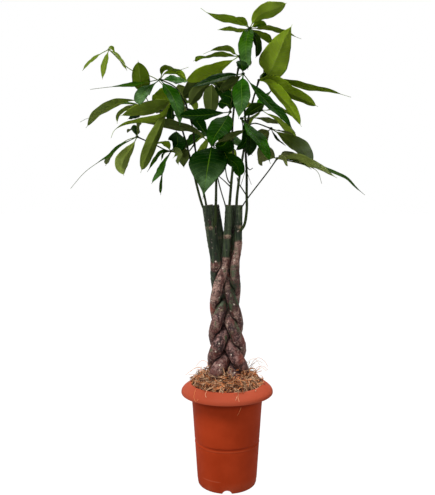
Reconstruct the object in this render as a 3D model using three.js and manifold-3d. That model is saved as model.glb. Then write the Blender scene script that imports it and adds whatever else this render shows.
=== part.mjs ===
// Potted money tree: five braided trunks in a round plastic pot, with palmate leaves on short shoots.
// Millimetres, +Z up. The origin is the centre of the pot's underside, and the tree's front faces -Y.
import * as THREE from 'three';
import { mergeVertices } from 'three/addons/utils/BufferGeometryUtils.js';
import Module from 'manifold-3d';

const wasm = await Module();
wasm.setup();

// Clearances and resolution
const TOUCH_GAP = 0.3;      // left between two pieces that touch
const TRUNK_SIDES = 8;
const SHOOT_SIDES = 6;
const STALK_SIDES = 4;

// Pot, a nursery pot with a turned-down rim
const POT = {
  footRadius: 62,
  footRounding: 4.5,
  wallRadiusLow: 67,
  wallRadiusHigh: 81.5,
  wallThickness: 2.4,
  floorThickness: 3,
  height: 229,
  crestRadius: 84,
  rimRadius: 105,
  rimLow: 206,
  rimThickness: 2.6,
  stepHeight: 13,
  grooveHeight: 99,
  grooveDepth: 0.9,
  grooveHalfWidth: 1.6,
  notchRadius: 10.5,
  notchHeight: 9,
  notches: 4,
  segments: 28,
};

// Filling: potting soil, and a mulch of coconut fibre heaped round the trunks
const SOIL = { top: 214, radiusLow: 61.5 };
const MULCH = { bottom: 214.3, edge: 224.5, crown: 246, radius: 78.6, rings: 5, sectors: 22, roughness: 3.2 };
const FIBRES = { count: 10, thickness: 1.9, length: 52, steps: 3 };

// Braid: each trunk crosses the middle once for every turn of the plait, in front of the others on its
// way out and behind them on its way back. The crossings come closer together towards the pot.
const BRAID = {
  trunks: 5,
  firstCrossing: 504,
  crossingRate: 0.0213,
  crossingGain: 3.61e-5,
  lowest: 226,
  loosens: 452,
  free: 548,
  reachHigh: 23.5,
  reachLow: 34,
  reachFrom: 420,
  depthHigh: 23.5,
  depthLow: 27,
  offsetHigh: -4,
  offsetLow: 3,
};
// The trunks' radii: thick at the foot, even along the plait, and each its own at the sawn top
const GIRTH = { foot: 15.6, plait: 11.8, footTo: 235, plaitFrom: 430, plaitTo: 440, topFrom: 560 };
const TRUNK_FOOT = 150;     // the trunks end in the soil at this height
const TRUNK_TOP = 635;      // all five are sawn off level

// The crown is laid out as it shows from a standpoint in front of the tree. A place is given by where it
// shows in the plane of the trunks, across and up, and by how far it lies behind that plane.
const STANDPOINT = { away: 1400, height: 635 };

function seen([across, height, depth]) {
  const spread = 1 + depth / STANDPOINT.away;
  const z = STANDPOINT.height + (height - STANDPOINT.height) * spread;
  return new THREE.Vector3(across * spread, depth, z);
}

const LEAF = {
  thickness: 0.9,
  ribThickness: 1.5,
  foot: 0.09,               // the bare share of a leaflet's length, from the stalk to the blade
  form: [0.5, 1.2],         // where along the blade it is widest, and how slender it is
  pointed: 0.3,             // how much every blade narrows to its tip
  stalkWidth: 2.4,
  stalkStart: 3.4,
  fold: 0.2,
  wave: 0.05,
  slimBelow: 41,
  broadAbove: 50,
  longPath: 3,              // a blade with this many places on its way is never a slim one
  tipShare: 0.35,           // the tip's width, as a share of the stalk's
  arch: 0.1,
  knotRadius: 6,
  stalkRadius: 1.6,
  stalkStep: 42,
};

// Materials
const matte = (color, roughness) => new THREE.MeshStandardMaterial({ color, roughness, metalness: 0 });
const LOOK = {
  pot: matte(0xb4472b, 0.55),
  soil: matte(0x3b2a1c, 0.95),
  mulch: matte(0xb5793f, 0.9),
  bark: matte(0x6b4a45, 0.85),
  shoot: matte(0x3c4a32, 0.6),
  leaf: matte(0x1e5a14, 0.4),
  youngLeaf: matte(0x6e8a2a, 0.5),
};

// Solids: meshes go to manifold-3d to be joined and cut, and come back as three.js geometry
function solid(geometry) {
  const bare = geometry.index ? geometry.toNonIndexed() : geometry.clone();
  bare.deleteAttribute('normal');
  bare.deleteAttribute('uv');
  const merged = mergeVertices(bare, 1e-4);
  const mesh = new wasm.Mesh({
    numProp: 3,
    vertProperties: Float32Array.from(merged.attributes.position.array),
    triVerts: Uint32Array.from(merged.index.array),
  });
  return new wasm.Manifold(mesh);
}

function geometryOf(body) {
  const { vertProperties, triVerts } = body.getMesh();
  const geometry = new THREE.BufferGeometry();
  geometry.setAttribute('position', new THREE.BufferAttribute(vertProperties, 3));
  geometry.setIndex(new THREE.BufferAttribute(triVerts, 1));
  return geometry;
}

const joined = (bodies) => bodies.reduce((whole, body) => whole.add(body));

// The largest piece of a body that a cut may have left in scraps
function largest(body) {
  const pieces = body.decompose();
  return pieces.reduce((best, piece) => (piece.volume() > best.volume() ? piece : best));
}

// A repeatable random draw from 0 to 1
function draws(seed) {
  let state = seed;
  return () => {
    state = (state * 16807) % 2147483647;
    return state / 2147483647;
  };
}

// A closed round bar through the centres, with a radius for each
function bar(centres, radii, sides) {
  const tangents = centres.map((_, i) => {
    const ahead = centres[Math.min(i + 1, centres.length - 1)];
    const behind = centres[Math.max(i - 1, 0)];
    return ahead.clone().sub(behind).normalize();
  });
  const side = new THREE.Vector3(0, -1, 0).cross(tangents[0]);
  if (side.length() < 0.1) side.set(1, 0, 0);
  const positions = [];
  centres.forEach((centre, i) => {
    side.addScaledVector(tangents[i], -side.dot(tangents[i])).normalize();
    const up = tangents[i].clone().cross(side);
    for (let k = 0; k < sides; k += 1) {
      const angle = (2 * Math.PI * k) / sides;
      const point = centre.clone();
      point.addScaledVector(side, radii[i] * Math.cos(angle));
      point.addScaledVector(up, radii[i] * Math.sin(angle));
      positions.push(point.x, point.y, point.z);
    }
  });
  const faces = [];
  const last = (centres.length - 1) * sides;
  for (let i = 0; i + 1 < centres.length; i += 1) {
    for (let k = 0; k < sides; k += 1) {
      const a = i * sides + k;
      const b = i * sides + ((k + 1) % sides);
      faces.push(a, b, b + sides, a, b + sides, a + sides);
    }
  }
  for (let k = 1; k + 1 < sides; k += 1) {
    faces.push(0, k + 1, k, last, last + k, last + k + 1);
  }
  return indexed(positions, faces);
}

function indexed(positions, faces) {
  const geometry = new THREE.BufferGeometry();
  geometry.setAttribute('position', new THREE.Float32BufferAttribute(positions, 3));
  geometry.setIndex(faces);
  return geometry;
}

// Points at even steps along a smooth curve through the given places
function along(places, steps) {
  return new THREE.CatmullRomCurve3(places, false, 'centripetal').getPoints(steps);
}

const model = new THREE.Group();

function place(name, body, material) {
  const mesh = new THREE.Mesh(geometryOf(body), material);
  mesh.name = name;
  model.add(mesh);
}

// Pot: its wall, turned-down rim and floor in one profile, with a groove round the wall
function potProfile() {
  const p = POT;
  const wallAt = (z) => p.wallRadiusLow + ((p.wallRadiusHigh - p.wallRadiusLow) * z) / p.rimLow;
  const groove = (offset, depth) => [wallAt(p.grooveHeight + offset) - depth, p.grooveHeight + offset];
  const outline = [
    [0, 0],
    [p.footRadius, 0],
    [p.footRadius + p.footRounding * 0.6, p.footRounding * 0.4],
    [wallAt(0) - 0.6, p.footRounding],
    [wallAt(p.stepHeight) - 0.6, p.stepHeight - 1],
    [wallAt(p.stepHeight), p.stepHeight + 0.4],
    groove(-p.grooveHalfWidth, 0),
    groove(0, p.grooveDepth),
    groove(p.grooveHalfWidth, 0),
    [p.wallRadiusHigh, p.rimLow + 4],
    [p.rimRadius - p.rimThickness, p.rimLow],
    [p.rimRadius, p.rimLow + 2.2],
    [p.rimRadius - 1.2, p.rimLow + 6],
    [p.crestRadius + 12, p.height - 6],
    [p.crestRadius + 4, p.height - 1],
    [p.crestRadius, p.height],
    [p.crestRadius - 3, p.height - 2],
    [p.wallRadiusHigh - p.wallThickness, p.rimLow + 4],
    [wallAt(p.floorThickness) - p.wallThickness, p.floorThickness],
    [0, p.floorThickness],
  ];
  return outline.map(([radius, z]) => new THREE.Vector2(radius, z));
}

// A solid of revolution about the pot's axis
function turned(profile, segments) {
  const geometry = new THREE.LatheGeometry(profile, segments);
  geometry.rotateX(Math.PI / 2);
  return solid(geometry);
}

// Drainage notches, half-round, cut through the wall where it meets the floor
function potNotches() {
  const outline = new THREE.Shape();
  outline.moveTo(-POT.notchRadius, -5);
  outline.lineTo(POT.notchRadius, -5);
  outline.lineTo(POT.notchRadius, 0);
  outline.absellipse(0, 0, POT.notchRadius, POT.notchHeight, 0, Math.PI, false);
  const depth = 16;
  const cutters = [];
  for (let k = 0; k < POT.notches; k += 1) {
    const cutter = new THREE.ExtrudeGeometry(outline, { depth, bevelEnabled: false, curveSegments: 8 });
    cutter.rotateX(Math.PI / 2);
    cutter.translate(0, -POT.footRadius + 7, 0);
    cutter.rotateZ((2 * Math.PI * k) / POT.notches);
    cutters.push(solid(cutter));
  }
  return cutters;
}

function pot() {
  return potNotches().reduce((body, cutter) => body.subtract(cutter), turned(potProfile(), POT.segments));
}

// Trunks, in the order in which they cross the middle of the plait going down. Each has two free
// places above the plait: across and depth at the start of the free stretch, and at the sawn top.
const TRUNKS = [
  { name: 'trunk_centre', free: [-1, -7], top: [5, -9], radius: 8.6 },
  { name: 'trunk_left_back', free: [-14, 17], top: [-29, 16], radius: 10 },
  { name: 'trunk_centre_back', free: [15, 17], top: [13, 14], radius: 8.6 },
  { name: 'trunk_left_front', free: [-32, -9], top: [-45, -10], radius: 12.6 },
  { name: 'trunk_right', free: [26, -5], top: [27, -8], radius: 8.4 },
];

function crossingsDownTo(z) {
  const down = BRAID.firstCrossing - z;
  return BRAID.crossingRate * down + BRAID.crossingGain * down * down;
}

function braided(order, height) {
  const z = Math.max(height, BRAID.lowest);
  const turn = (Math.PI * (crossingsDownTo(z) - order + (order % 2 === 0 ? BRAID.trunks : 0))) / BRAID.trunks;
  const low = THREE.MathUtils.clamp((BRAID.reachFrom - z) / (BRAID.reachFrom - BRAID.lowest), 0, 1);
  const reach = THREE.MathUtils.lerp(BRAID.reachHigh, BRAID.reachLow, low);
  const depth = THREE.MathUtils.lerp(BRAID.depthHigh, BRAID.depthLow, low);
  const offset = THREE.MathUtils.lerp(BRAID.offsetHigh, BRAID.offsetLow, low);
  return [offset + reach * Math.sin(turn), -depth * Math.sin(2 * turn)];
}

function trunkCentre(order, z) {
  const { free, top } = TRUNKS[order];
  const rise = (z - BRAID.free) / (TRUNK_TOP - BRAID.free);
  const straight = [0, 1].map((i) => free[i] + (top[i] - free[i]) * rise);
  const loose = THREE.MathUtils.smoothstep(z, BRAID.loosens, BRAID.free);
  const held = braided(order, z);
  const [x, y] = [0, 1].map((i) => held[i] + (straight[i] - held[i]) * loose);
  return new THREE.Vector3(x, y, z);
}

function trunkRadius(order, z) {
  const { foot, plait, footTo, plaitFrom, plaitTo, topFrom } = GIRTH;
  const body = THREE.MathUtils.lerp(foot, plait, THREE.MathUtils.smoothstep(z, footTo, plaitFrom));
  return THREE.MathUtils.lerp(body, TRUNKS[order].radius, THREE.MathUtils.smoothstep(z, plaitTo, topFrom));
}

const TRUNK_STEPS = 19;

function trunk(order, growth = 0) {
  const heights = [];
  for (let i = 0; i <= TRUNK_STEPS; i += 1) {
    heights.push(TRUNK_FOOT + ((TRUNK_TOP - TRUNK_FOOT) * i) / TRUNK_STEPS);
  }
  const radii = heights.map((z) => trunkRadius(order, z) + growth);
  heights[0] -= growth;
  heights[TRUNK_STEPS] += growth;
  return solid(bar(heights.map((z) => trunkCentre(order, z)), radii, TRUNK_SIDES));
}

const trunks = TRUNKS.map((_, order) => trunk(order));
const trunkRoom = joined(TRUNKS.map((_, order) => trunk(order, TOUCH_GAP * 1.1)));
TRUNKS.forEach((_, order) => {
  for (let other = 0; other < order; other += 1) {
    trunks[order] = trunks[order].subtract(trunk(other, TOUCH_GAP * 1.1));
  }
  trunks[order] = largest(trunks[order]);
});

// Soil: fills the pot under the mulch, and the trunks stand in it
function soil() {
  const inside = (z) => {
    const share = z / POT.rimLow;
    const outer = POT.wallRadiusLow + (POT.wallRadiusHigh - POT.wallRadiusLow) * share;
    return outer - POT.wallThickness - TOUCH_GAP;
  };
  const low = POT.floorThickness + TOUCH_GAP;
  const profile = [
    [0, low],
    [inside(low) - 1, low],
    [inside(SOIL.top) - 1, SOIL.top],
    [0, SOIL.top],
  ].map(([radius, z]) => new THREE.Vector2(radius, z));
  return turned(profile, POT.segments).subtract(trunkRoom);
}

// Mulch: a heap of fibre with a rough top, and larger fibres that stand out of it
function mulchHeight(radius, angle) {
  const share = radius / MULCH.radius;
  const heap = MULCH.edge + (MULCH.crown - MULCH.edge) * (1 - share * share);
  const rough = Math.sin(5 * angle + radius * 0.31) + Math.sin(8 * angle - radius * 0.53 + 1);
  return heap + (MULCH.roughness / 2) * rough * Math.sin(Math.PI * Math.min(1, share * 1.05));
}

function mulchHeap() {
  const { rings, sectors, radius, bottom } = MULCH;
  const positions = [0, 0, mulchHeight(0, 0), 0, 0, bottom];
  for (let ring = 1; ring <= rings; ring += 1) {
    for (let k = 0; k < sectors; k += 1) {
      const angle = (2 * Math.PI * k) / sectors;
      const r = (radius * ring) / rings;
      positions.push(r * Math.cos(angle), r * Math.sin(angle), mulchHeight(r, angle));
    }
  }
  const skirt = positions.length / 3;
  for (let k = 0; k < sectors; k += 1) {
    const angle = (2 * Math.PI * k) / sectors;
    positions.push((radius - 1) * Math.cos(angle), (radius - 1) * Math.sin(angle), bottom);
  }
  const faces = [];
  const at = (ring, k) => 2 + (ring - 1) * sectors + (k % sectors);
  for (let k = 0; k < sectors; k += 1) {
    faces.push(0, at(1, k), at(1, k + 1));
    for (let ring = 1; ring < rings; ring += 1) {
      faces.push(at(ring, k), at(ring + 1, k), at(ring + 1, k + 1));
      faces.push(at(ring, k), at(ring + 1, k + 1), at(ring, k + 1));
    }
    const low = skirt + k;
    const lowNext = skirt + ((k + 1) % sectors);
    faces.push(at(rings, k), low, lowNext, at(rings, k), lowNext, at(rings, k + 1));
    faces.push(1, lowNext, low);
  }
  return solid(indexed(positions, faces));
}

function fibre(draw) {
  const angle = 2 * Math.PI * draw();
  const start = MULCH.radius * (0.25 + 0.62 * Math.sqrt(draw()));
  const heading = angle + Math.PI * (0.3 + 1.4 * draw());
  const lift = 5 + 10 * draw() * draw();
  const length = FIBRES.length * (0.5 + 0.8 * draw());
  const bend = 0.9 * (draw() - 0.5);
  const centres = [];
  for (let i = 0; i <= FIBRES.steps; i += 1) {
    const share = i / FIBRES.steps;
    const x = start * Math.cos(angle) + length * share * Math.cos(heading + bend * share);
    const y = start * Math.sin(angle) + length * share * Math.sin(heading + bend * share);
    const reach = Math.min(Math.hypot(x, y), MULCH.radius - 2);
    const inward = reach / Math.hypot(x, y);
    const ground = mulchHeight(reach, Math.atan2(y, x));
    const height = ground - 3 + (lift + 3) * Math.sin(Math.PI * share);
    centres.push(new THREE.Vector3(x * inward, y * inward, height));
  }
  const radii = centres.map((_, i) => (FIBRES.thickness / 2) * (i === FIBRES.steps ? 0.6 : 1));
  return solid(bar(centres, radii, 3));
}

function mulch() {
  const draw = draws(41);
  const fibres = [];
  for (let i = 0; i < FIBRES.count; i += 1) fibres.push(fibre(draw));
  return largest(joined([mulchHeap(), ...fibres]).subtract(trunkRoom));
}

// Shoots: young green stems that grow from the sawn trunks, each given by places along it
const SHOOTS = {
  shoot_left_outer: {
    radii: [2.9, 1.9],
    route: [
      [-50, 618, -12], [-59, 640, -14], [-80, 722, -18], [-98, 791, -20], [-116, 846, -16], [-126, 866, -12],
    ],
  },
  shoot_left_inner: {
    radii: [2.7, 1.8],
    route: [[-46, 620, -6], [-49, 640, -3], [-53, 660, 2], [-74, 768, -22], [-79, 812, -38], [-96, 872, -50]],
  },
  shoot_front: {
    radii: [3.5, 2],
    route: [
      [-40, 574, -12], [-28, 592, -21], [-26, 630, -30], [-25, 690, -52], [-24, 750, -62], [-8, 815, -72],
    ],
  },
  shoot_centre: {
    radii: [3.3, 1.8],
    route: [
      [4, 620, -9], [6, 642, -8], [10, 690, -2], [14, 740, 14], [12, 810, 34], [18, 880, 42],
      [24, 940, 30], [37, 990, 14], [50, 1032, 2],
    ],
  },
  shoot_right_inner: {
    radii: [3.2, 2],
    route: [[22, 620, -7], [22, 642, -4], [27, 690, 12], [38, 760, 34], [50, 840, 38], [73, 922, 16]],
  },
  shoot_right_outer: {
    radii: [3.3, 2],
    route: [
      [29, 574, -10], [39, 588, -18], [45, 622, -24], [45, 656, -30], [45, 709, -40], [43, 750, -50],
      [43, 800, -62], [40, 860, -86], [36, 906, -108],
    ],
  },
};

const SHOOT_STEPS = 8;

function shootCurve(name) {
  return new THREE.CatmullRomCurve3(SHOOTS[name].route.map(seen), false, 'centripetal');
}

function shoot(name, growth = 0) {
  const [thick, thin] = SHOOTS[name].radii;
  const centres = shootCurve(name).getPoints(SHOOT_STEPS);
  const radii = centres.map((_, i) => growth + thick + ((thin - thick) * i) / SHOOT_STEPS);
  return solid(bar(centres, radii, SHOOT_SIDES));
}

const shootRooms = {};
Object.keys(SHOOTS).forEach((name) => {
  shootRooms[name] = shoot(name, TOUCH_GAP * 1.2);
});

// Leaflets: a blade with a pointed tip on a short stalk of its own. `turn` is the blade's angle about
// its midrib: 0 shows its upper face to the front, 90 its edge, and 180 its underside.
function bladeWidth(share, { foot, tail, form: [widest, slender] }) {
  const blade = Math.min(1, (share - foot) / (1 - foot - tail));
  if (blade <= 0 || blade >= 1) return 0;
  const fall = slender * (1 - widest) + LEAF.pointed;
  const rise = (fall * widest) / (1 - widest);
  return (blade / widest) ** rise * ((1 - blade) / (1 - widest)) ** fall;
}

// Sections of a blade as shares of its length: few on a slim one, most where it is widest
function sections({ wide, via, foot, tail, form: [widest] }) {
  const slim = wide < LEAF.slimBelow && via.length < LEAF.longPath;
  const spans = slim ? [-0.2, 0.5] : wide > LEAF.broadAbove ? [-0.6, -0.2, 0.3, 0.7] : [-0.5, 0, 0.55];
  const along = spans.map((span) => widest + span * (span < 0 ? widest : 1 - widest));
  return [0, foot, ...along.map((share) => foot + share * (1 - foot - tail)), 1];
}

function leaflet(hub, own) {
  const blade = { via: [], tail: 0, foot: LEAF.foot, form: LEAF.form, ...own };
  const { via, wide } = blade;
  const end = seen(blade.tip);
  const between = via.map(seen);
  if (via.length === 0) {
    between.push(hub.clone().lerp(end, 0.5));
    between[0].z += LEAF.arch * hub.distanceTo(end);
  }
  const start = between[0].clone().sub(hub).setLength(LEAF.stalkStart).add(hub);
  const places = [start, ...between, end];
  const curve = new THREE.CatmullRomCurve3(places, false, 'centripetal');
  const eye = new THREE.Vector3(0, -STANDPOINT.away, STANDPOINT.height);
  const chord = end.clone().sub(hub);
  const upward = Math.sign(chord.clone().cross(eye.clone().sub(hub)).z) || 1;
  const angle = THREE.MathUtils.degToRad(blade.turn);
  const stations = sections(blade);
  const last = stations.length - 1;
  const positions = [];
  stations.forEach((share, i) => {
    const centre = curve.getPointAt(share);
    const tangent = curve.getTangentAt(share);
    const facing = eye.clone().sub(centre).normalize();
    facing.addScaledVector(tangent, -facing.dot(tangent)).normalize();
    const lying = tangent.clone().cross(facing).multiplyScalar(upward);
    const normal = facing.clone().multiplyScalar(Math.cos(angle)).addScaledVector(lying, Math.sin(angle));
    const across = normal.clone().cross(tangent);
    const stalk = (LEAF.stalkWidth / 2) * (i === last ? LEAF.tipShare : 1);
    const half = Math.max(stalk, (wide / 2) * bladeWidth(share, blade));
    const wave = LEAF.wave * wide * (i % 2 === 0 ? 1 : -1);
    const lift = LEAF.fold * half + wave * bladeWidth(share, blade);
    const [edge, rib] = [LEAF.thickness / 2, LEAF.ribThickness / 2];
    const upper = [[-half, lift + edge], [0, rib], [half, lift + edge]];
    const lower = [[half, lift - edge], [0, -rib], [-half, lift - edge]];
    [...upper, ...lower].forEach(([out, up]) => {
      const point = centre.clone().addScaledVector(across, out).addScaledVector(normal, up);
      positions.push(point.x, point.y, point.z);
    });
  });
  return solid(indexed(positions, bladeFaces(stations.length)));
}

// Six corners a station, round the section. Both faces of the blade are split into the same triangles.
function bladeFaces(stations) {
  const faces = [];
  const split = { 0: false, 1: true, 2: true, 3: false, 4: true, 5: true };
  for (let i = 0; i + 1 < stations; i += 1) {
    for (let k = 0; k < 6; k += 1) {
      const a = i * 6 + k;
      const b = i * 6 + ((k + 1) % 6);
      if (split[k]) faces.push(a, b + 6, b, a, a + 6, b + 6);
      else faces.push(a, a + 6, b, b, a + 6, b + 6);
    }
  }
  const last = (stations - 1) * 6;
  for (const [a, b, c] of [[0, 1, 4], [0, 4, 5], [1, 2, 3], [1, 3, 4]]) {
    faces.push(a, b, c, last + a, last + c, last + b);
  }
  return faces;
}

// Leaves: leaflets that spread from one point at the end of a stalk. `grows` names what the stalk
// comes from and, on a shoot, how far up it.
const LEAVES = {
  leaf_far_left: {
    young: true,
    hub: [-272, 993, 5],
    grows: ['shoot_left_outer', 0.985],
    stalk: [[-152, 916, -4], [-182, 934, -2], [-221, 946, 0]],
    leaflets: [
      { tip: [-333, 944, -15], via: [[-292, 982, -3], [-313, 965, -9]], wide: 18, turn: 64, foot: 0.25 },
      { tip: [-287, 924, -20], wide: 18, turn: 40 },
      { tip: [-230, 944, 5], via: [[-254, 981, 6], [-243, 964, 6]], wide: 16, turn: 58 },
      { tip: [-257, 980, 68], wide: 18, turn: 60 },
    ],
  },
  leaf_left_upper: {
    hub: [-154, 924, -60],
    grows: ['shoot_left_inner', 0.98],
    stalk: [[-118, 905, -54]],
    leaflets: [
      {
        tip: [-315, 901, -95], via: [[-182, 918, -64], [-223, 909, -74], [-265, 907, -84]],
        wide: 24, turn: 68, tail: 0.3, foot: 0.2, form: [0.45, 1.6],
      },
      {
        tip: [-89, 952, -112], via: [[-147, 943, -70], [-131, 947, -84], [-113, 945, -98]],
        wide: 28, turn: 118, tail: 0.25, form: [0.38, 1.6],
      },
      {
        tip: [-92, 922, -58], via: [[-143, 937, -62], [-115, 940, -60]],
        wide: 20, turn: 134, form: [0.6, 1.3],
      },
      { tip: [-88, 921, -20], via: [[-122, 921, -40]], wide: 34, turn: 60, form: [0.5, 1.3] },
      {
        tip: [-108, 813, -140], via: [[-131, 895, -88], [-115, 860, -116]],
        wide: 36, turn: 36, form: [0.42, 1.35],
      },
      {
        tip: [-201, 863, -134], via: [[-177, 906, -86], [-195, 889, -112]],
        wide: 31, turn: 24, form: [0.72, 1.1],
      },
    ],
  },
  leaf_left_middle: {
    hub: [-173, 860, -10],
    grows: ['shoot_left_outer', 0.88],
    stalk: [[-150, 852, -18]],
    leaflets: [
      {
        tip: [-205, 968, -72], via: [[-188, 885, -30], [-197, 910, -54]],
        wide: 43, turn: 160, foot: 0.34, form: [0.5, 0.9],
      },
      {
        tip: [-325, 812, -60], via: [[-210, 875, -18], [-242, 872, -28], [-270, 862, -38], [-299, 844, -50]],
        wide: 33, turn: 130, foot: 0.2, form: [0.6, 1.3],
      },
      {
        tip: [-338, 826, 20], via: [[-246, 867, 0], [-299, 839, 12], [-322, 834, 16]],
        wide: 22, turn: 84, tail: 0.3, form: [0.45, 1.4],
      },
      {
        tip: [-253, 822, -76], via: [[-210, 859, -40], [-237, 852, -60], [-251, 840, -70]],
        wide: 20, turn: 122, form: [0.6, 1],
      },
      { tip: [-118, 903, -50], via: [[-148, 880, -36]], wide: 46, turn: 142, form: [0.5, 0.9] },
      { tip: [-229, 832, 50], via: [[-203, 848, 25]], wide: 40, turn: 52, form: [0.4, 1.1] },
      { tip: [-122, 846, 34], via: [[-148, 858, 16]], wide: 44, turn: 140, form: [0.5, 0.9] },
    ],
  },
  leaf_left_front: {
    hub: [-124, 881, -70],
    grows: ['shoot_left_outer', 0.83],
    stalk: [[-112, 850, -48]],
    leaflets: [
      {
        tip: [-199, 709, -172], via: [[-143, 845, -98], [-159, 805, -128], [-183, 753, -152]],
        wide: 32, turn: 148, foot: 0.16, form: [0.64, 0.9],
      },
      {
        tip: [-246, 840, -92], via: [[-154, 864, -76], [-200, 852, -84]],
        wide: 38, turn: 140, form: [0.42, 1],
      },
      {
        tip: [-267, 789, -120],
        via: [[-154, 835, -112], [-205, 827, -108], [-237, 820, -112], [-260, 806, -116]],
        wide: 24, turn: 122, tail: 0.12, form: [0.45, 1.1],
      },
      { tip: [-130, 812, -44], wide: 34, turn: 58 },
    ],
  },
  leaf_left_lower: {
    hub: [-207, 792, -56],
    grows: ['shoot_left_outer', 0.6],
    stalk: [[-131, 759, -34], [-167, 774, -44]],
    leaflets: [
      {
        tip: [-360, 673, -90], via: [[-242, 773, -66], [-269, 749, -74], [-297, 733, -80], [-329, 709, -86]],
        wide: 20, turn: 70, tail: 0.42, form: [0.4, 1.4],
      },
      {
        tip: [-280, 725, -40], via: [[-233, 783, -54], [-262, 757, -48]],
        wide: 20, turn: 124, form: [0.84, 1.2],
      },
      {
        tip: [-237, 702, -90], via: [[-219, 768, -66], [-239, 738, -78], [-243, 720, -86]],
        wide: 34, turn: 148, form: [0.6, 1.1],
      },
      { tip: [-197, 822, 30], wide: 26, turn: 120 },
      { tip: [-225, 807, 10], wide: 28, turn: 50 },
    ],
  },
  leaf_left_inner: {
    hub: [-129, 759, -112],
    grows: ['shoot_left_inner', 0.62],
    stalk: [[-96, 752, -60]],
    leaflets: [
      { tip: [-184, 711, -122], via: [[-149, 757, -115]], wide: 18, turn: 60, form: [0.35, 1.4] },
      {
        tip: [-174, 684, -150], via: [[-141, 740, -124], [-152, 713, -138]],
        wide: 25, turn: 58, form: [0.55, 1.2],
      },
      {
        tip: [-153, 658, -176], via: [[-145, 725, -136], [-151, 690, -160]],
        wide: 9, turn: 50, form: [0.86, 1.2],
      },
      { tip: [-152, 737, -92], via: [[-143, 755, -104]], wide: 15, turn: 70 },
      { tip: [-159, 780, -150], wide: 26, turn: 120 },
      { tip: [-117, 806, -140], via: [[-114, 776, -124]], wide: 44, turn: 30, form: [0.5, 1.1] },
      { tip: [-112, 727, -176], via: [[-115, 753, -140]], wide: 26, turn: 128, form: [0.42, 1.5] },
      { tip: [-99, 720, -128], via: [[-106, 757, -116]], wide: 30, turn: 142, form: [0.45, 1.4] },
    ],
  },
  leaf_front_large: {
    hub: [-35, 774, -150],
    grows: ['shoot_front', 0.74],
    stalk: [[-34, 760, -110]],
    leaflets: [
      { tip: [-56, 648, -200], via: [[-44, 725, -190]], wide: 79, turn: 14, foot: 0.04, form: [0.4, 2.5] },
      { tip: [27, 697, -176], via: [[-7, 749, -164], [22, 726, -172]], wide: 34, turn: 36, form: [0.7, 1.2] },
      { tip: [6, 790, -136], via: [[-12, 771, -140]], wide: 46, turn: 12, form: [0.6, 1] },
      {
        tip: [-198, 825, -64], via: [[-74, 804, -126], [-136, 818, -82]],
        wide: 38, turn: 122, form: [0.55, 1],
      },
      { tip: [40, 808, -172], via: [[4, 788, -160]], wide: 30, turn: 118, form: [0.6, 1.2] },
    ],
  },
  leaf_front_upper: {
    hub: [7, 849, -120],
    grows: ['shoot_front', 0.985],
    stalk: [[0, 836, -92]],
    leaflets: [
      {
        tip: [-37, 764, -222], via: [[-9, 821, -164], [-30, 789, -200]],
        wide: 46, turn: 24, tail: 0.06, form: [0.5, 1.3],
      },
      {
        tip: [-113, 840, -140], via: [[-25, 845, -126], [-62, 841, -133]],
        wide: 34, turn: 44, form: [0.6, 0.9],
      },
      { tip: [-16, 890, -70], via: [[9, 881, -92]], wide: 24, turn: 30, form: [0.6, 0.8] },
      { tip: [-20, 873, -98], via: [[4, 864, -110]], wide: 30, turn: 24, form: [0.6, 0.8] },
      { tip: [26, 912, -50], wide: 34, turn: 100 },
    ],
  },
  leaf_upper_left: {
    hub: [27, 977, -40],
    grows: ['shoot_centre', 0.8],
    stalk: [[30, 966, -10]],
    leaflets: [
      {
        tip: [-55, 982, -20], via: [[7, 990, -34], [-21, 993, -28], [-42, 988, -24]],
        wide: 29, turn: 118, tail: 0.2, form: [0.35, 1.3],
      },
      {
        tip: [-62, 971, -66], via: [[-12, 979, -52], [-46, 975, -62]],
        wide: 25, turn: 116, form: [0.45, 1.2],
      },
      {
        tip: [-78, 966, -56], via: [[-21, 977, -46], [-60, 973, -52]],
        wide: 17, turn: 124, foot: 0.2, form: [0.92, 1],
      },
      {
        tip: [-99, 920, -104], via: [[2, 961, -64], [-30, 943, -80], [-62, 931, -94]],
        wide: 40, turn: 142, foot: 0.12, form: [0.62, 1.15],
      },
      { tip: [54, 955, 66], wide: 26, turn: 120 },
    ],
  },
  leaf_top: {
    hub: [52, 1042, -4],
    grows: ['shoot_centre', 1],
    stalk: [],
    leaflets: [
      {
        tip: [138, 1100, -20], via: [[64, 1062, -6], [83, 1077, -10], [111, 1086, -15]],
        wide: 40, turn: 152, form: [0.52, 0.9],
      },
      {
        tip: [-61, 1088, -18], via: [[25, 1055, -6], [-12, 1063, -10], [-42, 1075, -14]],
        wide: 31, turn: 126, tail: 0.12, form: [0.36, 1.3],
      },
      { tip: [18, 1067, -40], via: [[37, 1057, -20]], wide: 17, turn: 150 },
      { tip: [-22, 1038, 40], via: [[30, 1036, 14], [2, 1038, 28]], wide: 23, turn: 118, form: [0.45, 1] },
      {
        tip: [48, 945, -100], via: [[44, 1010, -42], [44, 975, -78]],
        wide: 34, turn: 20, foot: 0.02, form: [0.42, 0.35],
      },
      { tip: [66, 973, -38], via: [[66, 1019, -18], [70, 996, -28]], wide: 25, turn: 42, form: [0.5, 1] },
      {
        tip: [171, 1017, 34], via: [[87, 1040, 10], [129, 1032, 22]],
        wide: 30, turn: 114, tail: 0.1, form: [0.42, 1.5],
      },
      { tip: [92, 1043, 30], via: [[72, 1051, 12]], wide: 20, turn: 150, form: [0.6, 1] },
      { tip: [104, 1004, 62], via: [[80, 1024, 30]], wide: 30, turn: 130, form: [0.55, 1.1] },
    ],
  },
  leaf_upper_right: {
    hub: [73, 922, 16],
    grows: ['shoot_right_inner', 0.985],
    stalk: [],
    leaflets: [
      {
        tip: [150, 1050, 0], via: [[94, 934, 15], [111, 968, 16], [131, 1014, 9]],
        wide: 71, turn: 164, foot: 0.14, form: [0.3, 1],
      },
      {
        tip: [285, 883, -24],
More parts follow.
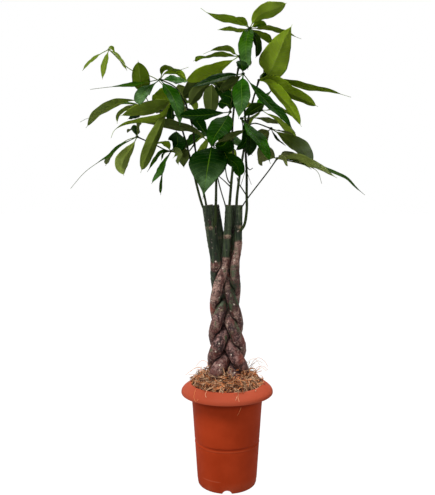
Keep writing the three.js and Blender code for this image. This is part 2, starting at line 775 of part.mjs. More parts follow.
        via: [[94, 928, 12], [131, 918, 4], [177, 906, -6], [218, 899, -14], [250, 893, -20]],
        wide: 31, turn: 118, tail: 0.12, foot: 0.12, form: [0.5, 0.95],
      },
      {
        tip: [209, 861, -50], via: [[99, 920, 0], [140, 895, -20], [177, 878, -36]],
        wide: 44, turn: 134, form: [0.42, 0.6],
      },
      {
        tip: [171, 815, -64], via: [[94, 916, -4], [122, 886, -24], [149, 855, -46]],
        wide: 37, turn: 134, form: [0.45, 0.65],
      },
      { tip: [112, 908, 104], wide: 36, turn: 60 },
      { tip: [117, 955, 116], wide: 38, turn: 100 },
    ],
  },
  leaf_front_top: {
    hub: [37, 937, -134],
    grows: ['shoot_right_outer', 0.985],
    stalk: [[36, 922, -118]],
    leaflets: [
      {
        tip: [-85, 905, -214], via: [[2, 932, -154], [-44, 918, -186]],
        wide: 22, turn: 42, form: [0.42, 1.3],
      },
      {
        tip: [26, 833, -230], via: [[33, 904, -168], [34, 870, -204]],
        wide: 40, turn: 22, form: [0.46, 1.25],
      },
      {
        tip: [157, 801, -160], via: [[64, 902, -140], [98, 866, -148], [131, 834, -155]],
        wide: 31, turn: 50, tail: 0.08, foot: 0.12, form: [0.5, 1.3],
      },
      { tip: [-21, 899, -168], via: [[16, 918, -148]], wide: 30, turn: 128, form: [0.55, 1] },
      { tip: [30, 968, -124], wide: 30, turn: 36, form: [0.55, 0.9] },
    ],
  },
  leaf_front_right: {
    hub: [33, 834, -112],
    grows: ['shoot_right_outer', 0.76],
    stalk: [],
    leaflets: [
      {
        tip: [100, 730, -200], via: [[57, 803, -146], [83, 767, -178]],
        wide: 38, turn: 50, tail: 0.05, form: [0.5, 1.25],
      },
      { tip: [48, 745, -118], via: [[54, 787, -114]], wide: 31, turn: 40, form: [0.6, 1.05] },
      { tip: [19, 760, -90], via: [[43, 781, -98]], wide: 20, turn: 30, form: [0.6, 1.2] },
      { tip: [85, 868, -100], via: [[57, 851, -106]], wide: 31, turn: 40, form: [0.58, 1.1] },
      {
        tip: [119, 821, -84], via: [[66, 835, -104], [89, 830, -96]],
        wide: 22, turn: 122, foot: 0.25, form: [0.7, 1.2],
      },
    ],
  },
  leaf_right_middle: {
    hub: [101, 811, -70],
    grows: ['shoot_right_outer', 0.73],
    stalk: [[62, 823, -66]],
    leaflets: [
      {
        tip: [200, 733, -36], via: [[131, 792, -56], [168, 766, -46]],
        wide: 41, turn: 144, form: [0.6, 1.1],
      },
      { tip: [66, 776, -60], via: [[86, 797, -66]], wide: 38, turn: 146, form: [0.52, 0.95] },
      { tip: [135, 771, -20], via: [[112, 789, -48]], wide: 15, turn: 70 },
      { tip: [179, 757, 30], wide: 30, turn: 98 },
    ],
  },
  leaf_right_lower: {
    hub: [115, 742, -84],
    grows: ['trunk_right'],
    stalk: [[30, 624, -14], [44, 646, -22], [98, 717, -66]],
    leaflets: [
      { tip: [69, 740, -152], via: [[90, 749, -120]], wide: 40, turn: 158, form: [0.62, 0.4] },
      {
        tip: [253, 697, -136], via: [[161, 742, -104], [209, 722, -122]],
        wide: 30, turn: 124, form: [0.42, 1.3],
      },
      {
        tip: [317, 658, -96], via: [[168, 736, -86], [232, 715, -90], [276, 694, -93], [296, 675, -95]],
        wide: 18, turn: 62, form: [0.42, 0.85],
      },
      { tip: [218, 684, -104], via: [[175, 728, -92], [207, 713, -99]], wide: 14, turn: 80, tail: 0.3 },
      {
        tip: [194, 717, -60], via: [[131, 751, -78], [165, 737, -70]],
        wide: 32, turn: 124, form: [0.36, 1.2],
      },
      { tip: [140, 725, -130], wide: 24, turn: 120 },
    ],
  },
  leaf_back_right: {
    hub: [80, 853, 150],
    grows: ['shoot_right_inner', 0.7],
    stalk: [],
    leaflets: [
      { tip: [158, 835, 185], wide: 40, turn: 106 },
      { tip: [168, 766, 190], wide: 42, turn: 112 },
      { tip: [92, 862, 282], wide: 44, turn: 100 },
      { tip: [30, 850, 262], wide: 44, turn: 100 },
      { tip: [38, 792, 225], wide: 42, turn: 110 },
      { tip: [110, 905, 215], wide: 40, turn: 84 },
    ],
  },
  leaf_back_centre: {
    hub: [-35, 916, 128],
    grows: ['shoot_centre', 0.62],
    stalk: [],
    leaflets: [
      { tip: [-37, 844, 96], via: [[-36, 886, 108]], wide: 40, turn: 168, foot: 0.05, form: [0.5, 0.4] },
      {
        tip: [-104, 883, 98], via: [[-66, 908, 110]],
        wide: 48, turn: 150, foot: 0.05, form: [0.5, 0.7],
      },
      { tip: [28, 911, 84], via: [[-4, 918, 104]], wide: 42, turn: 150, foot: 0.05, form: [0.5, 0.7] },
      { tip: [12, 866, 122], via: [[-12, 896, 126]], wide: 34, turn: 28, form: [0.55, 0.9] },
      { tip: [-88, 864, 78], via: [[-62, 900, 104]], wide: 36, turn: 152, foot: 0.05, form: [0.5, 0.8] },
      { tip: [-72, 881, 230], wide: 44, turn: 110 },
      { tip: [11, 876, 226], wide: 44, turn: 112 },
      { tip: [-21, 932, 252], wide: 40, turn: 96 },
    ],
  },
  leaf_back_left: {
    hub: [-100, 866, 150],
    grows: ['shoot_left_inner', 0.86],
    stalk: [],
    leaflets: [
      { tip: [-46, 795, 112], via: [[-76, 836, 136]], wide: 36, turn: 34, form: [0.5, 1] },
      { tip: [-156, 838, 118], wide: 44, turn: 140, form: [0.5, 0.9] },
      { tip: [-112, 914, 132], wide: 36, turn: 150, form: [0.5, 0.9] },
      { tip: [-106, 834, 62], via: [[-104, 870, 112]], wide: 40, turn: 150, form: [0.5, 0.8] },
      { tip: [-74, 852, 270], wide: 44, turn: 104 },
      { tip: [-124, 880, 284], wide: 44, turn: 96 },
      { tip: [-158, 852, 246], wide: 40, turn: 110 },
    ],
  },
};

// A low leaf on the far side, a full whorl: leaflets spread evenly round the stalk's end and droop
const WHORLS = {
  leaf_back_low: {
    hub: [-34, 800, 96], grows: ['trunk_centre'], stalk: [[-1, 624, 0], [-21, 695, 26]],
    size: 116, phase: 0.9,
  },
};
const WHORL = { leaflets: 6, droop: 0.5, wide: 0.35, lean: 0.35 };

function whorl({ hub, size, phase }) {
  const centre = seen(hub);
  const leaflets = [];
  for (let k = 0; k < WHORL.leaflets; k += 1) {
    const angle = phase + (2 * Math.PI * k) / WHORL.leaflets;
    const away = Math.sin(angle);
    const tip = centre.clone();
    tip.x += size * Math.cos(angle) * 0.86;
    tip.y += size * away * 0.86;
    tip.z -= size * (WHORL.droop + WHORL.lean * away * 0.4);
    leaflets.push({ tip: unseen(tip), wide: size * WHORL.wide, turn: away > 0 ? 118 : 62 });
  }
  return leaflets;
}

// The layout place of a point, as `seen` takes it
function unseen(point) {
  const spread = 1 + point.y / STANDPOINT.away;
  return [point.x / spread, STANDPOINT.height + (point.z - STANDPOINT.height) / spread, point.y];
}

// A stalk on a shoot starts at the shoot's middle. One on a trunk has its own first place, inside the trunk.
function stalkPlaces([carrier, share], stalk, hub) {
  const start = carrier in SHOOTS ? [shootCurve(carrier).getPointAt(share)] : [];
  return [...start, ...stalk.map(seen), hub];
}

function leafSolid({ hub, grows, stalk = [], leaflets, young = false }) {
  const centre = seen(hub);
  const places = stalkPlaces(grows, stalk, centre);
  const length = new THREE.CatmullRomCurve3(places).getLength();
  const steps = Math.max(2, Math.round(length / LEAF.stalkStep));
  const centres = along(places, steps);
  const thin = LEAF.stalkRadius * (young ? 0.75 : 1);
  const radii = centres.map((_, i) => (i === 0 || i === steps ? thin * 1.3 : thin));
  const knot = new THREE.OctahedronGeometry(LEAF.knotRadius * (young ? 0.8 : 1), 0);
  knot.translate(centre.x, centre.y, centre.z);
  const blades = leaflets.map((blade) => leaflet(centre, blade));
  const whole = joined([solid(bar(centres, radii, STALK_SIDES)), solid(knot), ...blades]);
  const room = grows[0] in SHOOTS ? shootRooms[grows[0]] : trunkRoom;
  return largest(whole.subtract(room));
}

place('pot', pot(), LOOK.pot);
place('soil', soil(), LOOK.soil);
place('coir_mulch', mulch(), LOOK.mulch);
TRUNKS.forEach(({ name }, order) => place(name, trunks[order], LOOK.bark));
Object.keys(SHOOTS).forEach((name) => {
  place(name, largest(shoot(name).subtract(trunkRoom)), LOOK.shoot);
});
Object.entries(LEAVES).forEach(([name, leaf]) => {
  place(name, leafSolid(leaf), leaf.young ? LOOK.youngLeaf : LOOK.leaf);
});
Object.entries(WHORLS).forEach(([name, leaf]) => {
  place(name, leafSolid({ ...leaf, leaflets: whorl(leaf) }), LOOK.leaf);
});

export default model;
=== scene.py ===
# %% [markdown]
# # Potted money tree
# A money tree is sold as several young trunks that were plaited while they were soft, sawn off level, and
# left to sprout. Long shoots grow from the cuts, and each carries leaves like open hands. The tree stands
# in a tall plastic nursery pot under a mulch of coconut fibre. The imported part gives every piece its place
# and size. This lesson dresses those pieces: it turns simple solids into bark, fibre, stems and leaves.

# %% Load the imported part
import math

import bmesh
import bpy
import numpy as np
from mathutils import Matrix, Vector
from mathutils.bvhtree import BVHTree


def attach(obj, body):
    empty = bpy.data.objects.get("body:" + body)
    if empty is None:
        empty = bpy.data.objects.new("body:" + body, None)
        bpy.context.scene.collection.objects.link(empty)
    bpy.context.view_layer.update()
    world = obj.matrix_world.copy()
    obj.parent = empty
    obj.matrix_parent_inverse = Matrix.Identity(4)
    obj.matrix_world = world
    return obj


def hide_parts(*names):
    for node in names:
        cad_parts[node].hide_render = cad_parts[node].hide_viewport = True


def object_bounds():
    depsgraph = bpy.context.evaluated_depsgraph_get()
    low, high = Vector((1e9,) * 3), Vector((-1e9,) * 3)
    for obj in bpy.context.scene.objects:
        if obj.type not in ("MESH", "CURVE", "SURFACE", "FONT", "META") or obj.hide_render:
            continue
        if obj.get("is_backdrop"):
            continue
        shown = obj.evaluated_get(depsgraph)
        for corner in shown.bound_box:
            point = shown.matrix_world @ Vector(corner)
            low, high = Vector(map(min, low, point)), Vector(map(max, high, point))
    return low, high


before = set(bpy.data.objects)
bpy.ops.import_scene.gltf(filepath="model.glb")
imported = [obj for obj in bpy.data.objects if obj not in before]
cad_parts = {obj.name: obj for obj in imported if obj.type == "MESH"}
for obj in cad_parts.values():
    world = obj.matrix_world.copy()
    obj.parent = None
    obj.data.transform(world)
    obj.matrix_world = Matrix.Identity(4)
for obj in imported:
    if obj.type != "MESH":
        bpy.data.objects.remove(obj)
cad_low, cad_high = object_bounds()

print("nodes:", len(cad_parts), "size in mm:", [round(side * 1000) for side in cad_high - cad_low])

# %% [markdown]
# ## Camera
# The photographer stood in front of the tree and held the camera level with the sawn trunk tops: they show
# edge-on, while the pot's mouth shows open. A level camera keeps the pot upright, and the frame is moved
# down with a small lens shift, as a view camera does, and not by tilting.

# %% Camera
IMAGE_WIDTH, IMAGE_HEIGHT = 435, 495
AXIS_COLUMN, HORIZON_ROW = 227.1, 205.0   # where the pot's axis and eye level show, in pixels
STANDPOINT_AWAY, STANDPOINT_HEIGHT = 1400.0, 635.0   # millimetres, as in the part
PIXEL = 2.3                               # millimetres a pixel covers in the plane of the trunks
SENSOR = 36.0

front_camera = bpy.data.objects.new("front_camera", bpy.data.cameras.new("front_camera"))
bpy.context.scene.collection.objects.link(front_camera)
front_camera.data.sensor_width = SENSOR
front_camera.data.lens = SENSOR * STANDPOINT_AWAY / (PIXEL * IMAGE_HEIGHT)
front_camera.data.shift_x = (IMAGE_WIDTH / 2 - AXIS_COLUMN) / IMAGE_HEIGHT
front_camera.data.shift_y = (HORIZON_ROW - IMAGE_HEIGHT / 2) / IMAGE_HEIGHT
front_camera.location = (0, -STANDPOINT_AWAY / 1000, STANDPOINT_HEIGHT / 1000)
front_camera.rotation_euler = (math.pi / 2, 0, 0)
bpy.context.scene.camera = front_camera
print("lens in mm:", round(front_camera.data.lens, 2))

# %% [markdown]
# ## Light and floor
# A plant like this is photographed in front of white paper under large soft lamps. One lamp is in front
# and to the left, high up, so the pot's right side falls into shade. A second one hangs behind the crown
# and shines through the leaves. The camera sees the world as paper white. The plant is lit by it much
# less, and a little more from the left, so it keeps its shadows. The floor is made in the same way.

# %% Helpers for nodes
scene = bpy.context.scene


def put(tree, socket, value):
    """Fills an input. A node's first result or a socket is linked to it, and anything else is set."""
    if isinstance(value, bpy.types.Node):
        value = next(made for made in value.outputs if made.enabled)
    if isinstance(value, bpy.types.NodeSocket):
        tree.links.new(value, socket)
    else:
        socket.default_value = (*value, 1) if socket.type == "RGBA" else value


def add(tree, kind, inputs=None, **settings):
    """Adds a node, with its settings, and its inputs by name or number."""
    made = tree.nodes.new(kind)
    for name, value in settings.items():
        setattr(made, name, value)
    for key, value in (inputs or {}).items():
        put(tree, made.inputs[key], value)
    return made


# %% Studio
scene.view_settings.view_transform = "Standard"
scene.view_settings.look = "None"
world = bpy.data.worlds.new("white_paper")
world.use_nodes = True
tree = world.node_tree
tree.nodes.clear()
seen_white = add(tree, "ShaderNodeBackground", {"Color": (1, 1, 1), "Strength": 1.0})
across = add(tree, "ShaderNodeSeparateXYZ", {0: add(tree, "ShaderNodeTexCoord").outputs["Generated"]})
fill_strength = add(tree, "ShaderNodeMapRange", {
    "Value": across, "From Min": -0.5, "From Max": 0.9, "To Min": 0.46, "To Max": 0.22,
})
fill_light = add(tree, "ShaderNodeBackground", {"Color": (1, 1, 0.98), "Strength": fill_strength})
to_camera = add(tree, "ShaderNodeLightPath").outputs["Is Camera Ray"]
paper = add(tree, "ShaderNodeMixShader", {0: to_camera, 1: fill_light, 2: seen_white})
add(tree, "ShaderNodeOutputWorld", {"Surface": paper})
scene.world = world


def soft_lamp(name, place, aim, size, power, colour):
    data = bpy.data.lights.new(name, "AREA")
    data.shape = "DISK"
    data.size = size
    data.energy = power
    data.color = colour
    lamp = bpy.data.objects.new(name, data)
    lamp.location = place
    lamp.rotation_euler = (Vector(aim) - Vector(place)).to_track_quat("-Z", "Y").to_euler()
    scene.collection.objects.link(lamp)


soft_lamp("key_lamp", (-1.0, -1.3, 2.6), (0, 0, 0.5), 1.0, 46, (1.0, 0.97, 0.93))
soft_lamp("crown_lamp", (0.5, 0.9, 2.7), (0, 0, 0.8), 1.4, 42, (1.0, 0.98, 0.92))

# %% Floor
FLOOR_REACH, FLOOR_DROP = 40.0, 0.0004   # metres: out to each side, and down from the pot's foot
FLOOR_GLOW, FLOOR_GLOW_SHARE = 1.12, 0.9   # how white the camera sees it, and how little of its grey

floor_finish = bpy.data.materials.new("pale_floor")
floor_finish.use_nodes = True
tree = floor_finish.node_tree
grey = tree.nodes["Principled BSDF"]
put(tree, grey.inputs["Base Color"], (0.5, 0.5, 0.5))
put(tree, grey.inputs["Roughness"], 0.9)
white = add(tree, "ShaderNodeEmission", {"Color": (1, 1, 1), "Strength": FLOOR_GLOW})
to_camera = add(tree, "ShaderNodeLightPath").outputs["Is Camera Ray"]
white_share = add(tree, "ShaderNodeMath", {0: to_camera, 1: FLOOR_GLOW_SHARE}, operation="MULTIPLY")
both = add(tree, "ShaderNodeMixShader", {0: white_share, 1: grey, 2: white})
put(tree, tree.nodes["Material Output"].inputs["Surface"], both)
floor_mesh = bpy.data.meshes.new("floor")
corners = [(FLOOR_REACH * x, FLOOR_REACH * y, -FLOOR_DROP) for x, y in ((-1, -1), (1, -1), (1, 1), (-1, 1))]
floor_mesh.from_pydata(corners, [], [(0, 1, 2, 3)])
floor_mesh.materials.append(floor_finish)
floor = bpy.data.objects.new("floor", floor_mesh)
scene.collection.objects.link(floor)
floor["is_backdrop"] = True
print("floor:", 2 * FLOOR_REACH, "m square")

# %% [markdown]
# ## Working in millimetres
# The part is planned in millimetres, and Blender shows metres. Every mesh here is made of millimetre
# numbers and scaled once, in the one function that makes a mesh, so the object itself stays unscaled.

# %% Helpers for meshes
MM = 0.001


def mesh_of(name, points, faces, edges=()):
    mesh = bpy.data.meshes.new(name)
    mesh.from_pydata((np.asarray(points, float) * MM).tolist(), list(edges), [list(face) for face in faces])
    mesh.update()
    return mesh


def show(name, mesh):
    piece = bpy.data.objects.new(name, mesh)
    scene.collection.objects.link(piece)
    return piece


def evaluated_mesh(piece):
    """What a piece's modifiers make of it, as a plain mesh. The piece itself is deleted."""
    graph = bpy.context.evaluated_depsgraph_get()
    mesh = bpy.data.meshes.new_from_object(piece.evaluated_get(graph))
    bpy.data.objects.remove(piece)
    return mesh


def coat(mesh, finish, sharp_above):
    """One finish all over, and smooth shading except where the mesh turns more sharply."""
    mesh.materials.clear()
    mesh.materials.append(finish)
    mesh.polygons.foreach_set("use_smooth", [True] * len(mesh.polygons))
    mesh.set_sharp_from_angle(angle=math.radians(sharp_above))


def finish_piece(piece, slot, *nodes):
    """The piece rides on the one body and stands for its CAD nodes. The slot is not used."""
    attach(piece, "root")
    if nodes:
        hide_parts(*nodes)
    piece.data.calc_loop_triangles()
    print(piece.name, "triangles:", len(piece.data.loop_triangles))


def step_between(value, low, high):
    """0 up to low, 1 from high on, and a smooth rise between them."""
    share = np.clip((np.asarray(value, float) - low) / (high - low), 0, 1)
    return share * share * (3 - 2 * share)


def bell(value, centre, width):
    """1 at the centre, and nearly 0 from twice the width away."""
    return np.exp(-(((value - centre) / width) ** 2))


# %% [markdown]
# ## Finishes
# Every finish here is a few colours laid over one another, each as much as some share says: a noise, a
# height, or a number that the mesh carries. The class below holds the words for that. Each word adds
# nodes and gives back the result, so that a finish reads like a recipe. Patterns read Object coordinates,
# which keep them fixed to their piece.

# %% Helpers for finishes
class Finish:
    def __init__(self, name):
        self.material = bpy.data.materials.new(name)
        self.material.use_nodes = True
        self.tree = self.material.node_tree
        self.shader = self.tree.nodes["Principled BSDF"]
        self.where = add(self.tree, "ShaderNodeTexCoord").outputs["Object"]

    def noise(self, scale, detail=3.0, roughness=0.55, stretch=None):
        """Noise of so many cells to the metre, with the coordinates stretched first if asked."""
        place = self.where
        if stretch:
            place = add(self.tree, "ShaderNodeMapping", {"Vector": place, "Scale": stretch})
        inputs = {"Vector": place, "Scale": scale, "Detail": detail, "Roughness": roughness}
        return add(self.tree, "ShaderNodeTexNoise", inputs)

    def cells(self, scale):
        """A cell pattern. Its first result is the distance from the nearest cell's middle."""
        return add(self.tree, "ShaderNodeTexVoronoi", {"Vector": self.where, "Scale": scale})

    def number(self, name, result="Fac"):
        """A number or a vector that the mesh carries at each point."""
        return add(self.tree, "ShaderNodeAttribute", attribute_name=name).outputs[result]

    def axes(self, vector=None):
        return add(self.tree, "ShaderNodeSeparateXYZ", {0: vector or self.where}).outputs

    def away_from(self, place):
        """How far each point is from a place that is given in millimetres."""
        inputs = {0: self.where, 1: [value * MM for value in place]}
        return add(self.tree, "ShaderNodeVectorMath", inputs, operation="DISTANCE")

    def maths(self, operation, *values):
        return add(self.tree, "ShaderNodeMath", dict(enumerate(values)), operation=operation)

    def times(self, *values):
        product = values[0]
        for value in values[1:]:
            product = self.maths("MULTIPLY", product, value)
        return product

    def rise(self, value, low, high, top=1.0, base=0.0):
        """The base where the value is low, the top where it is high, and a smooth rise between."""
        inputs = {"Value": value, "From Min": low, "From Max": high, "To Min": base, "To Max": top}
        return add(self.tree, "ShaderNodeMapRange", inputs, interpolation_type="SMOOTHSTEP")

    def band(self, value, centre, outer, inner, top=1.0):
        """A soft line: the top within inner of the centre, and 0 beyond outer."""
        off_centre = self.maths("ABSOLUTE", self.maths("SUBTRACT", value, centre))
        return self.rise(off_centre, outer, inner, top)

    def layered(self, colour, *layers):
        """A colour with more colours laid over it, each given with its share."""
        for share, over in layers:
            colour = add(self.tree, "ShaderNodeMix", {0: share, 6: colour, 7: over}, data_type="RGBA")
        return colour

    def made(self, colour, roughness, relief=None, specular=None):
        """The finished material. A relief is its height, its strength and its depth in metres."""
        put(self.tree, self.shader.inputs["Base Color"], colour)
        put(self.tree, self.shader.inputs["Roughness"], roughness)
        if relief:
            bump = add(self.tree, "ShaderNodeBump", dict(zip(("Height", "Strength", "Distance"), relief)))
            put(self.tree, self.shader.inputs["Normal"], bump)
        if specular is not None:
            put(self.tree, self.shader.inputs["Specular IOR Level"], specular)
        print("finish:", self.material.name, "nodes:", len(self.tree.nodes))
        return self.material


# %% [markdown]
# ## Pot plastic
# The pot is moulded from terracotta-coloured plastic with a soft, slightly uneven sheen. A mould leaves no
# grain, so broad clouds and upright streaks are enough. Age shows as dust near the floor and chalk on the
# rim, whose top also carries a painted highlight. The groove is darkened with painted shade, and the edge
# under it and the foot's step carry painted highlights. Right under the rim the wall is darkened with
# painted shade.

# %% Pot sizes
POT = dict(   # mm
    foot_radius=62, wall_radius_low=67, wall_radius_high=81.5, wall_thickness=2.4, floor_thickness=3,
    rim_radius=105, rim_low=206, notch_radius=10.5, notch_height=9, notches=4, recess_radius=53,
    recess_height=10.5, groove_height=99.5,
)
print("pot, across its rim in mm:", 2 * POT["rim_radius"])

# %% Pot plastic
look = Finish("terracotta_plastic")
cloud = look.noise(14, 4)
streak = look.noise(30, 3, stretch=(1, 1, 0.12))
side, _, height = look.axes()
# Chalky bloom and a painted highlight: the rim's top is lighter.
rim_chalk_and_highlight = look.times(look.rise(height, 0.2035, 0.2075), look.rise(cloud, 0.3, 0.7, 1, base=0.75))
dust_share = look.times(look.rise(height, 0.03, 0.0), look.rise(cloud, 0.35, 0.7, 0.3, base=0.05))
in_front = look.band(side, 0, 0.060, 0.030)
# Painted shade in the groove, strongest in the middle and fading towards the pot's sides.
groove_painted_shade = look.times(look.band(height, POT["groove_height"] * MM, 0.0032, 0.0012), in_front, 0.5)
# Painted highlight on the edge just under the groove.
groove_edge_highlight = look.times(look.band(height, 0.0945, 0.0022, 0.0008, 0.5), in_front)
# Painted highlight on the foot's step, to the left of the middle.
foot_step_highlight = look.times(look.band(height, 0.027, 0.0018, 0.0006, 0.45), look.band(side, -0.034, 0.024, 0.012))
# Painted shade on the wall right under the rim.
under_rim_painted_shade = look.times(look.rise(height, 0.186, 0.200), look.rise(height, 0.2062, 0.2055), 0.7)
colour = look.layered(
    (0.45, 0.046, 0.010),
    (look.rise(cloud, 0.3, 0.7), (0.535, 0.059, 0.015)),
    (look.rise(streak, 0.56, 0.8, 0.35), (0.54, 0.075, 0.024)),
    (rim_chalk_and_highlight, (0.54, 0.100, 0.050)),
    (dust_share, (0.56, 0.20, 0.11)),
    (groove_painted_shade, (0.17, 0.014, 0.004)),
    (groove_edge_highlight, (0.60, 0.095, 0.035)),
    (foot_step_highlight, (0.62, 0.15, 0.08)),
    (under_rim_painted_shade, (0.16, 0.014, 0.004)),
)
sheen = look.rise(streak, 0.3, 0.75, 0.55, base=0.42)
plastic = look.made(colour, sheen, relief=(look.noise(420, 2), 0.12, 0.0006), specular=0.04)

# %% [markdown]
# ## Pot
# A pot is a turned shape, so it is a profile swept round an axis. The profile follows the real section:
# a rounded foot with a small step, a straight wall with a groove, and a broad rim that rolls over and
# hangs free of the wall. Half-round drainage notches are cut through the foot with a Boolean, which is
# what the mould's own inserts do.

# %% Pot profile
POT_TURNS = 144
FOOT_STEP = dict(depth=0.6, full_to=11, gone_from=14)   # mm: how far the wall is set in near the foot
WALL_MARKS = {   # height, half width and depth in mm, and a depth below 0 stands out
    "groove": (POT["groove_height"], 2.5, 1.0), "ledge": (91.5, 1.4, 0.35), "ridge": (95, 1.6, -0.4),
    "shoulder": (182, 5.0, -0.3),
}
ROW_HEIGHTS = np.concatenate([np.arange(6.0, 90, 4.0), np.arange(90, 106, 0.6), np.arange(107, 206, 3.0)])


def wall_radius(height):
    share = height / POT["rim_low"]
    return POT["wall_radius_low"] + (POT["wall_radius_high"] - POT["wall_radius_low"]) * share


def arc(centre, radii, start, end, steps):
    """Points of an elliptic arc in the profile's plane, angles in degrees."""
    turns = np.radians(np.linspace(start, end, steps))
    return [(centre[0] + radii[0] * math.cos(t), centre[1] + radii[1] * math.sin(t)) for t in turns]


def wall_row(height):
    """A point of the outer wall, with the step over its foot and the marks."""
    inward = FOOT_STEP["depth"] * (1 - step_between(height, FOOT_STEP["full_to"], FOOT_STEP["gone_from"]))
    inward += sum(depth * bell(height, middle, wide) for middle, wide, depth in WALL_MARKS.values())
    return (wall_radius(height) - inward, height)


def inner_wall(height, gap=0.0):
    return (wall_radius(height) - POT["wall_thickness"] - gap, height)


foot, recess_out, recess = POT["foot_radius"], POT["recess_radius"], POT["recess_height"]
inside_floor = recess + POT["floor_thickness"]
profile = [
    (0, recess), (recess_out - 2, recess), (recess_out, recess - 2),
    (recess_out + 0.4, 1), (recess_out + 1.4, 0), (foot - 2, 0),
    *arc((foot - 0.5, 4.6), (4.8, 4.6), -90, -14, 8), *map(wall_row, ROW_HEIGHTS),
    (POT["wall_radius_high"] + 0.2, 209), (POT["wall_radius_high"] + 3.5, 212.5), (94, 212.0), (99.5, 209.5),
    *arc((POT["rim_radius"] - 1.6, 207.6), (1.6, 2.0), 200, 360, 9),
    (104.9, 209.6), (104.2, 212.2), (102.6, 214.8), (100, 217.4), (96.4, 220.3), (92.4, 223.3), (88.8, 226),
    (86.6, 227.8), *arc((84.6, 227.2), (2.6, 1.9), 100, 190, 8), (80.6, 222),
    (wall_radius(206) - POT["wall_thickness"], 208), *map(inner_wall, (150, 99, 50, inside_floor + 2)),
    (inner_wall(inside_floor)[0] - 2, inside_floor), (0, inside_floor),
]
print("profile points:", len(profile))


# %% Turning a profile
def turned(profile, turns):
    """A closed solid of revolution whose profile starts and ends on the axis."""
    rings = profile[1:-1]
    points = [(0, 0, profile[0][1])]
    for radius, height in rings:
        for k in range(turns):
            angle = 2 * math.pi * k / turns
            points.append((radius * math.sin(angle), -radius * math.cos(angle), height))
    points.append((0, 0, profile[-1][1]))
    last, outermost = len(points) - 1, len(rings) - 1
    at = lambda ring, k: 1 + ring * turns + k % turns
    faces = [(0, at(0, k + 1), at(0, k)) for k in range(turns)]
    for ring in range(outermost):
        faces += [(at(ring, k), at(ring, k + 1), at(ring + 1, k + 1), at(ring + 1, k)) for k in range(turns)]
    faces += [(last, at(outermost, k), at(outermost, k + 1)) for k in range(turns)]
    return points, faces


pot_shell = show("pot_shell", mesh_of("pot_shell", *turned(profile, POT_TURNS)))
print("pot points before the cut:", len(pot_shell.data.vertices))

# %% Pot notches
NOTCH_STEPS, NOTCH_BELOW, NOTCH_OUT, NOTCH_IN = 14, 6.0, 12, 14


def notch_cutter(turn):
    """A half-round bar that lies across the foot, turned about the pot's axis."""
    outline = [(-POT["notch_radius"], -NOTCH_BELOW)]
    for k in range(NOTCH_STEPS + 1):
        angle = math.pi * (1 - k / NOTCH_STEPS)
        outline.append((POT["notch_radius"] * math.cos(angle), POT["notch_height"] * math.sin(angle)))
    outline.append((POT["notch_radius"], -NOTCH_BELOW))
    near, far = -POT["foot_radius"] - NOTCH_OUT, -POT["foot_radius"] + NOTCH_IN
    count = len(outline)
    faces = [tuple(range(count)), tuple(range(2 * count - 1, count - 1, -1))]
    faces += [(k, k + count, (k + 1) % count + count, (k + 1) % count) for k in range(count)]
    cosine, sine = math.cos(turn), math.sin(turn)
    return [(x * cosine - y * sine, x * sine + y * cosine, z) for y in (near, far) for x, z in outline], faces


cut_points, cut_faces = [], []
for k in range(POT["notches"]):
    points, faces = notch_cutter(2 * math.pi * k / POT["notches"])
    cut_faces += [tuple(i + len(cut_points) for i in face) for face in faces]
    cut_points += points
cutter = show("notch_cutter", mesh_of("notch_cutter", cut_points, cut_faces))
bars = bmesh.new()
bars.from_mesh(cutter.data)
bmesh.ops.recalc_face_normals(bars, faces=bars.faces)
bars.to_mesh(cutter.data)
bars.free()
cut = pot_shell.modifiers.new("notches", "BOOLEAN")
cut.object, cut.operation, cut.solver = cutter, "DIFFERENCE", "EXACT"
pot_mesh = evaluated_mesh(pot_shell)
bpy.data.objects.remove(cutter)
coat(pot_mesh, plastic, sharp_above=38)
finish_piece(show("pot_moulded", pot_mesh), "pot_plastic", "pot")

# %% [markdown]
# ## Soil
# The soil is nearly hidden. It fills the pot from the raised floor up to the mulch, so it is turned like
# the pot, with a finish of dark crumbs: one noise for the colour and a cell pattern for the lumps.

# %% Soil
SOIL_TOP, SOIL_GAP, SOIL_TURNS = 214.0, 0.3, 72   # mm, with the gap between the soil and the wall
look = Finish("potting_soil")
crumbs = look.cells(260)
colour = look.layered(
    (0.018, 0.010, 0.006),
    (look.rise(look.noise(90, 5), 0.35, 0.65), (0.06, 0.033, 0.018)),
    (look.rise(crumbs, 0.1, 0.5, 0, base=0.5), (0.1, 0.06, 0.035)),
)
soil_finish = look.made(colour, 0.95, relief=(crumbs, 0.8, 0.002))
soil_wall = [inner_wall(height, SOIL_GAP) for height in (inside_floor + 2.5, 50, 99, 150, 205)]
soil_profile = [(0, inside_floor + SOIL_GAP), (soil_wall[0][0] - 2.5, inside_floor + SOIL_GAP), *soil_wall]
soil_profile += [(soil_wall[-1][0], SOIL_TOP), (0, SOIL_TOP)]
soil_mesh = mesh_of("soil_body", *turned(soil_profile, SOIL_TURNS))
coat(soil_mesh, soil_finish, sharp_above=38)
finish_piece(show("soil_body", soil_mesh), "soil", "soil")

# %% [markdown]
# ## Coir mulch
# Coir is the husk of a coconut, teased into springy fibres the colour of straw and rust. Between them the
# heap is dark. The heap itself is a mound that repeats the part's own rule for its height, with finer
# lumps on top, and its finish is matted, with a nearly black base of painted shade, so that gaps between
# the fibres look deep.

# %% Coir bed
MULCH = dict(bottom=214.3, edge=224.5, crown=246, radius=78.6, roughness=3.2)
BED_RINGS, BED_SECTORS = 36, 120


def mulch_height(radius, angle):
    share = radius / MULCH["radius"]
    heap = MULCH["edge"] + (MULCH["crown"] - MULCH["edge"]) * (1 - share * share)
    rough = math.sin(5 * angle + radius * 0.31) + math.sin(8 * angle - radius * 0.53 + 1)
    fine = math.sin(23 * angle + radius * 0.9) * math.sin(radius * 1.1 + 3 * math.sin(7 * angle))
    swell = math.sin(math.pi * min(1, share * 1.05))
    return heap + (MULCH["roughness"] / 2 * rough + 0.9 * fine) * swell


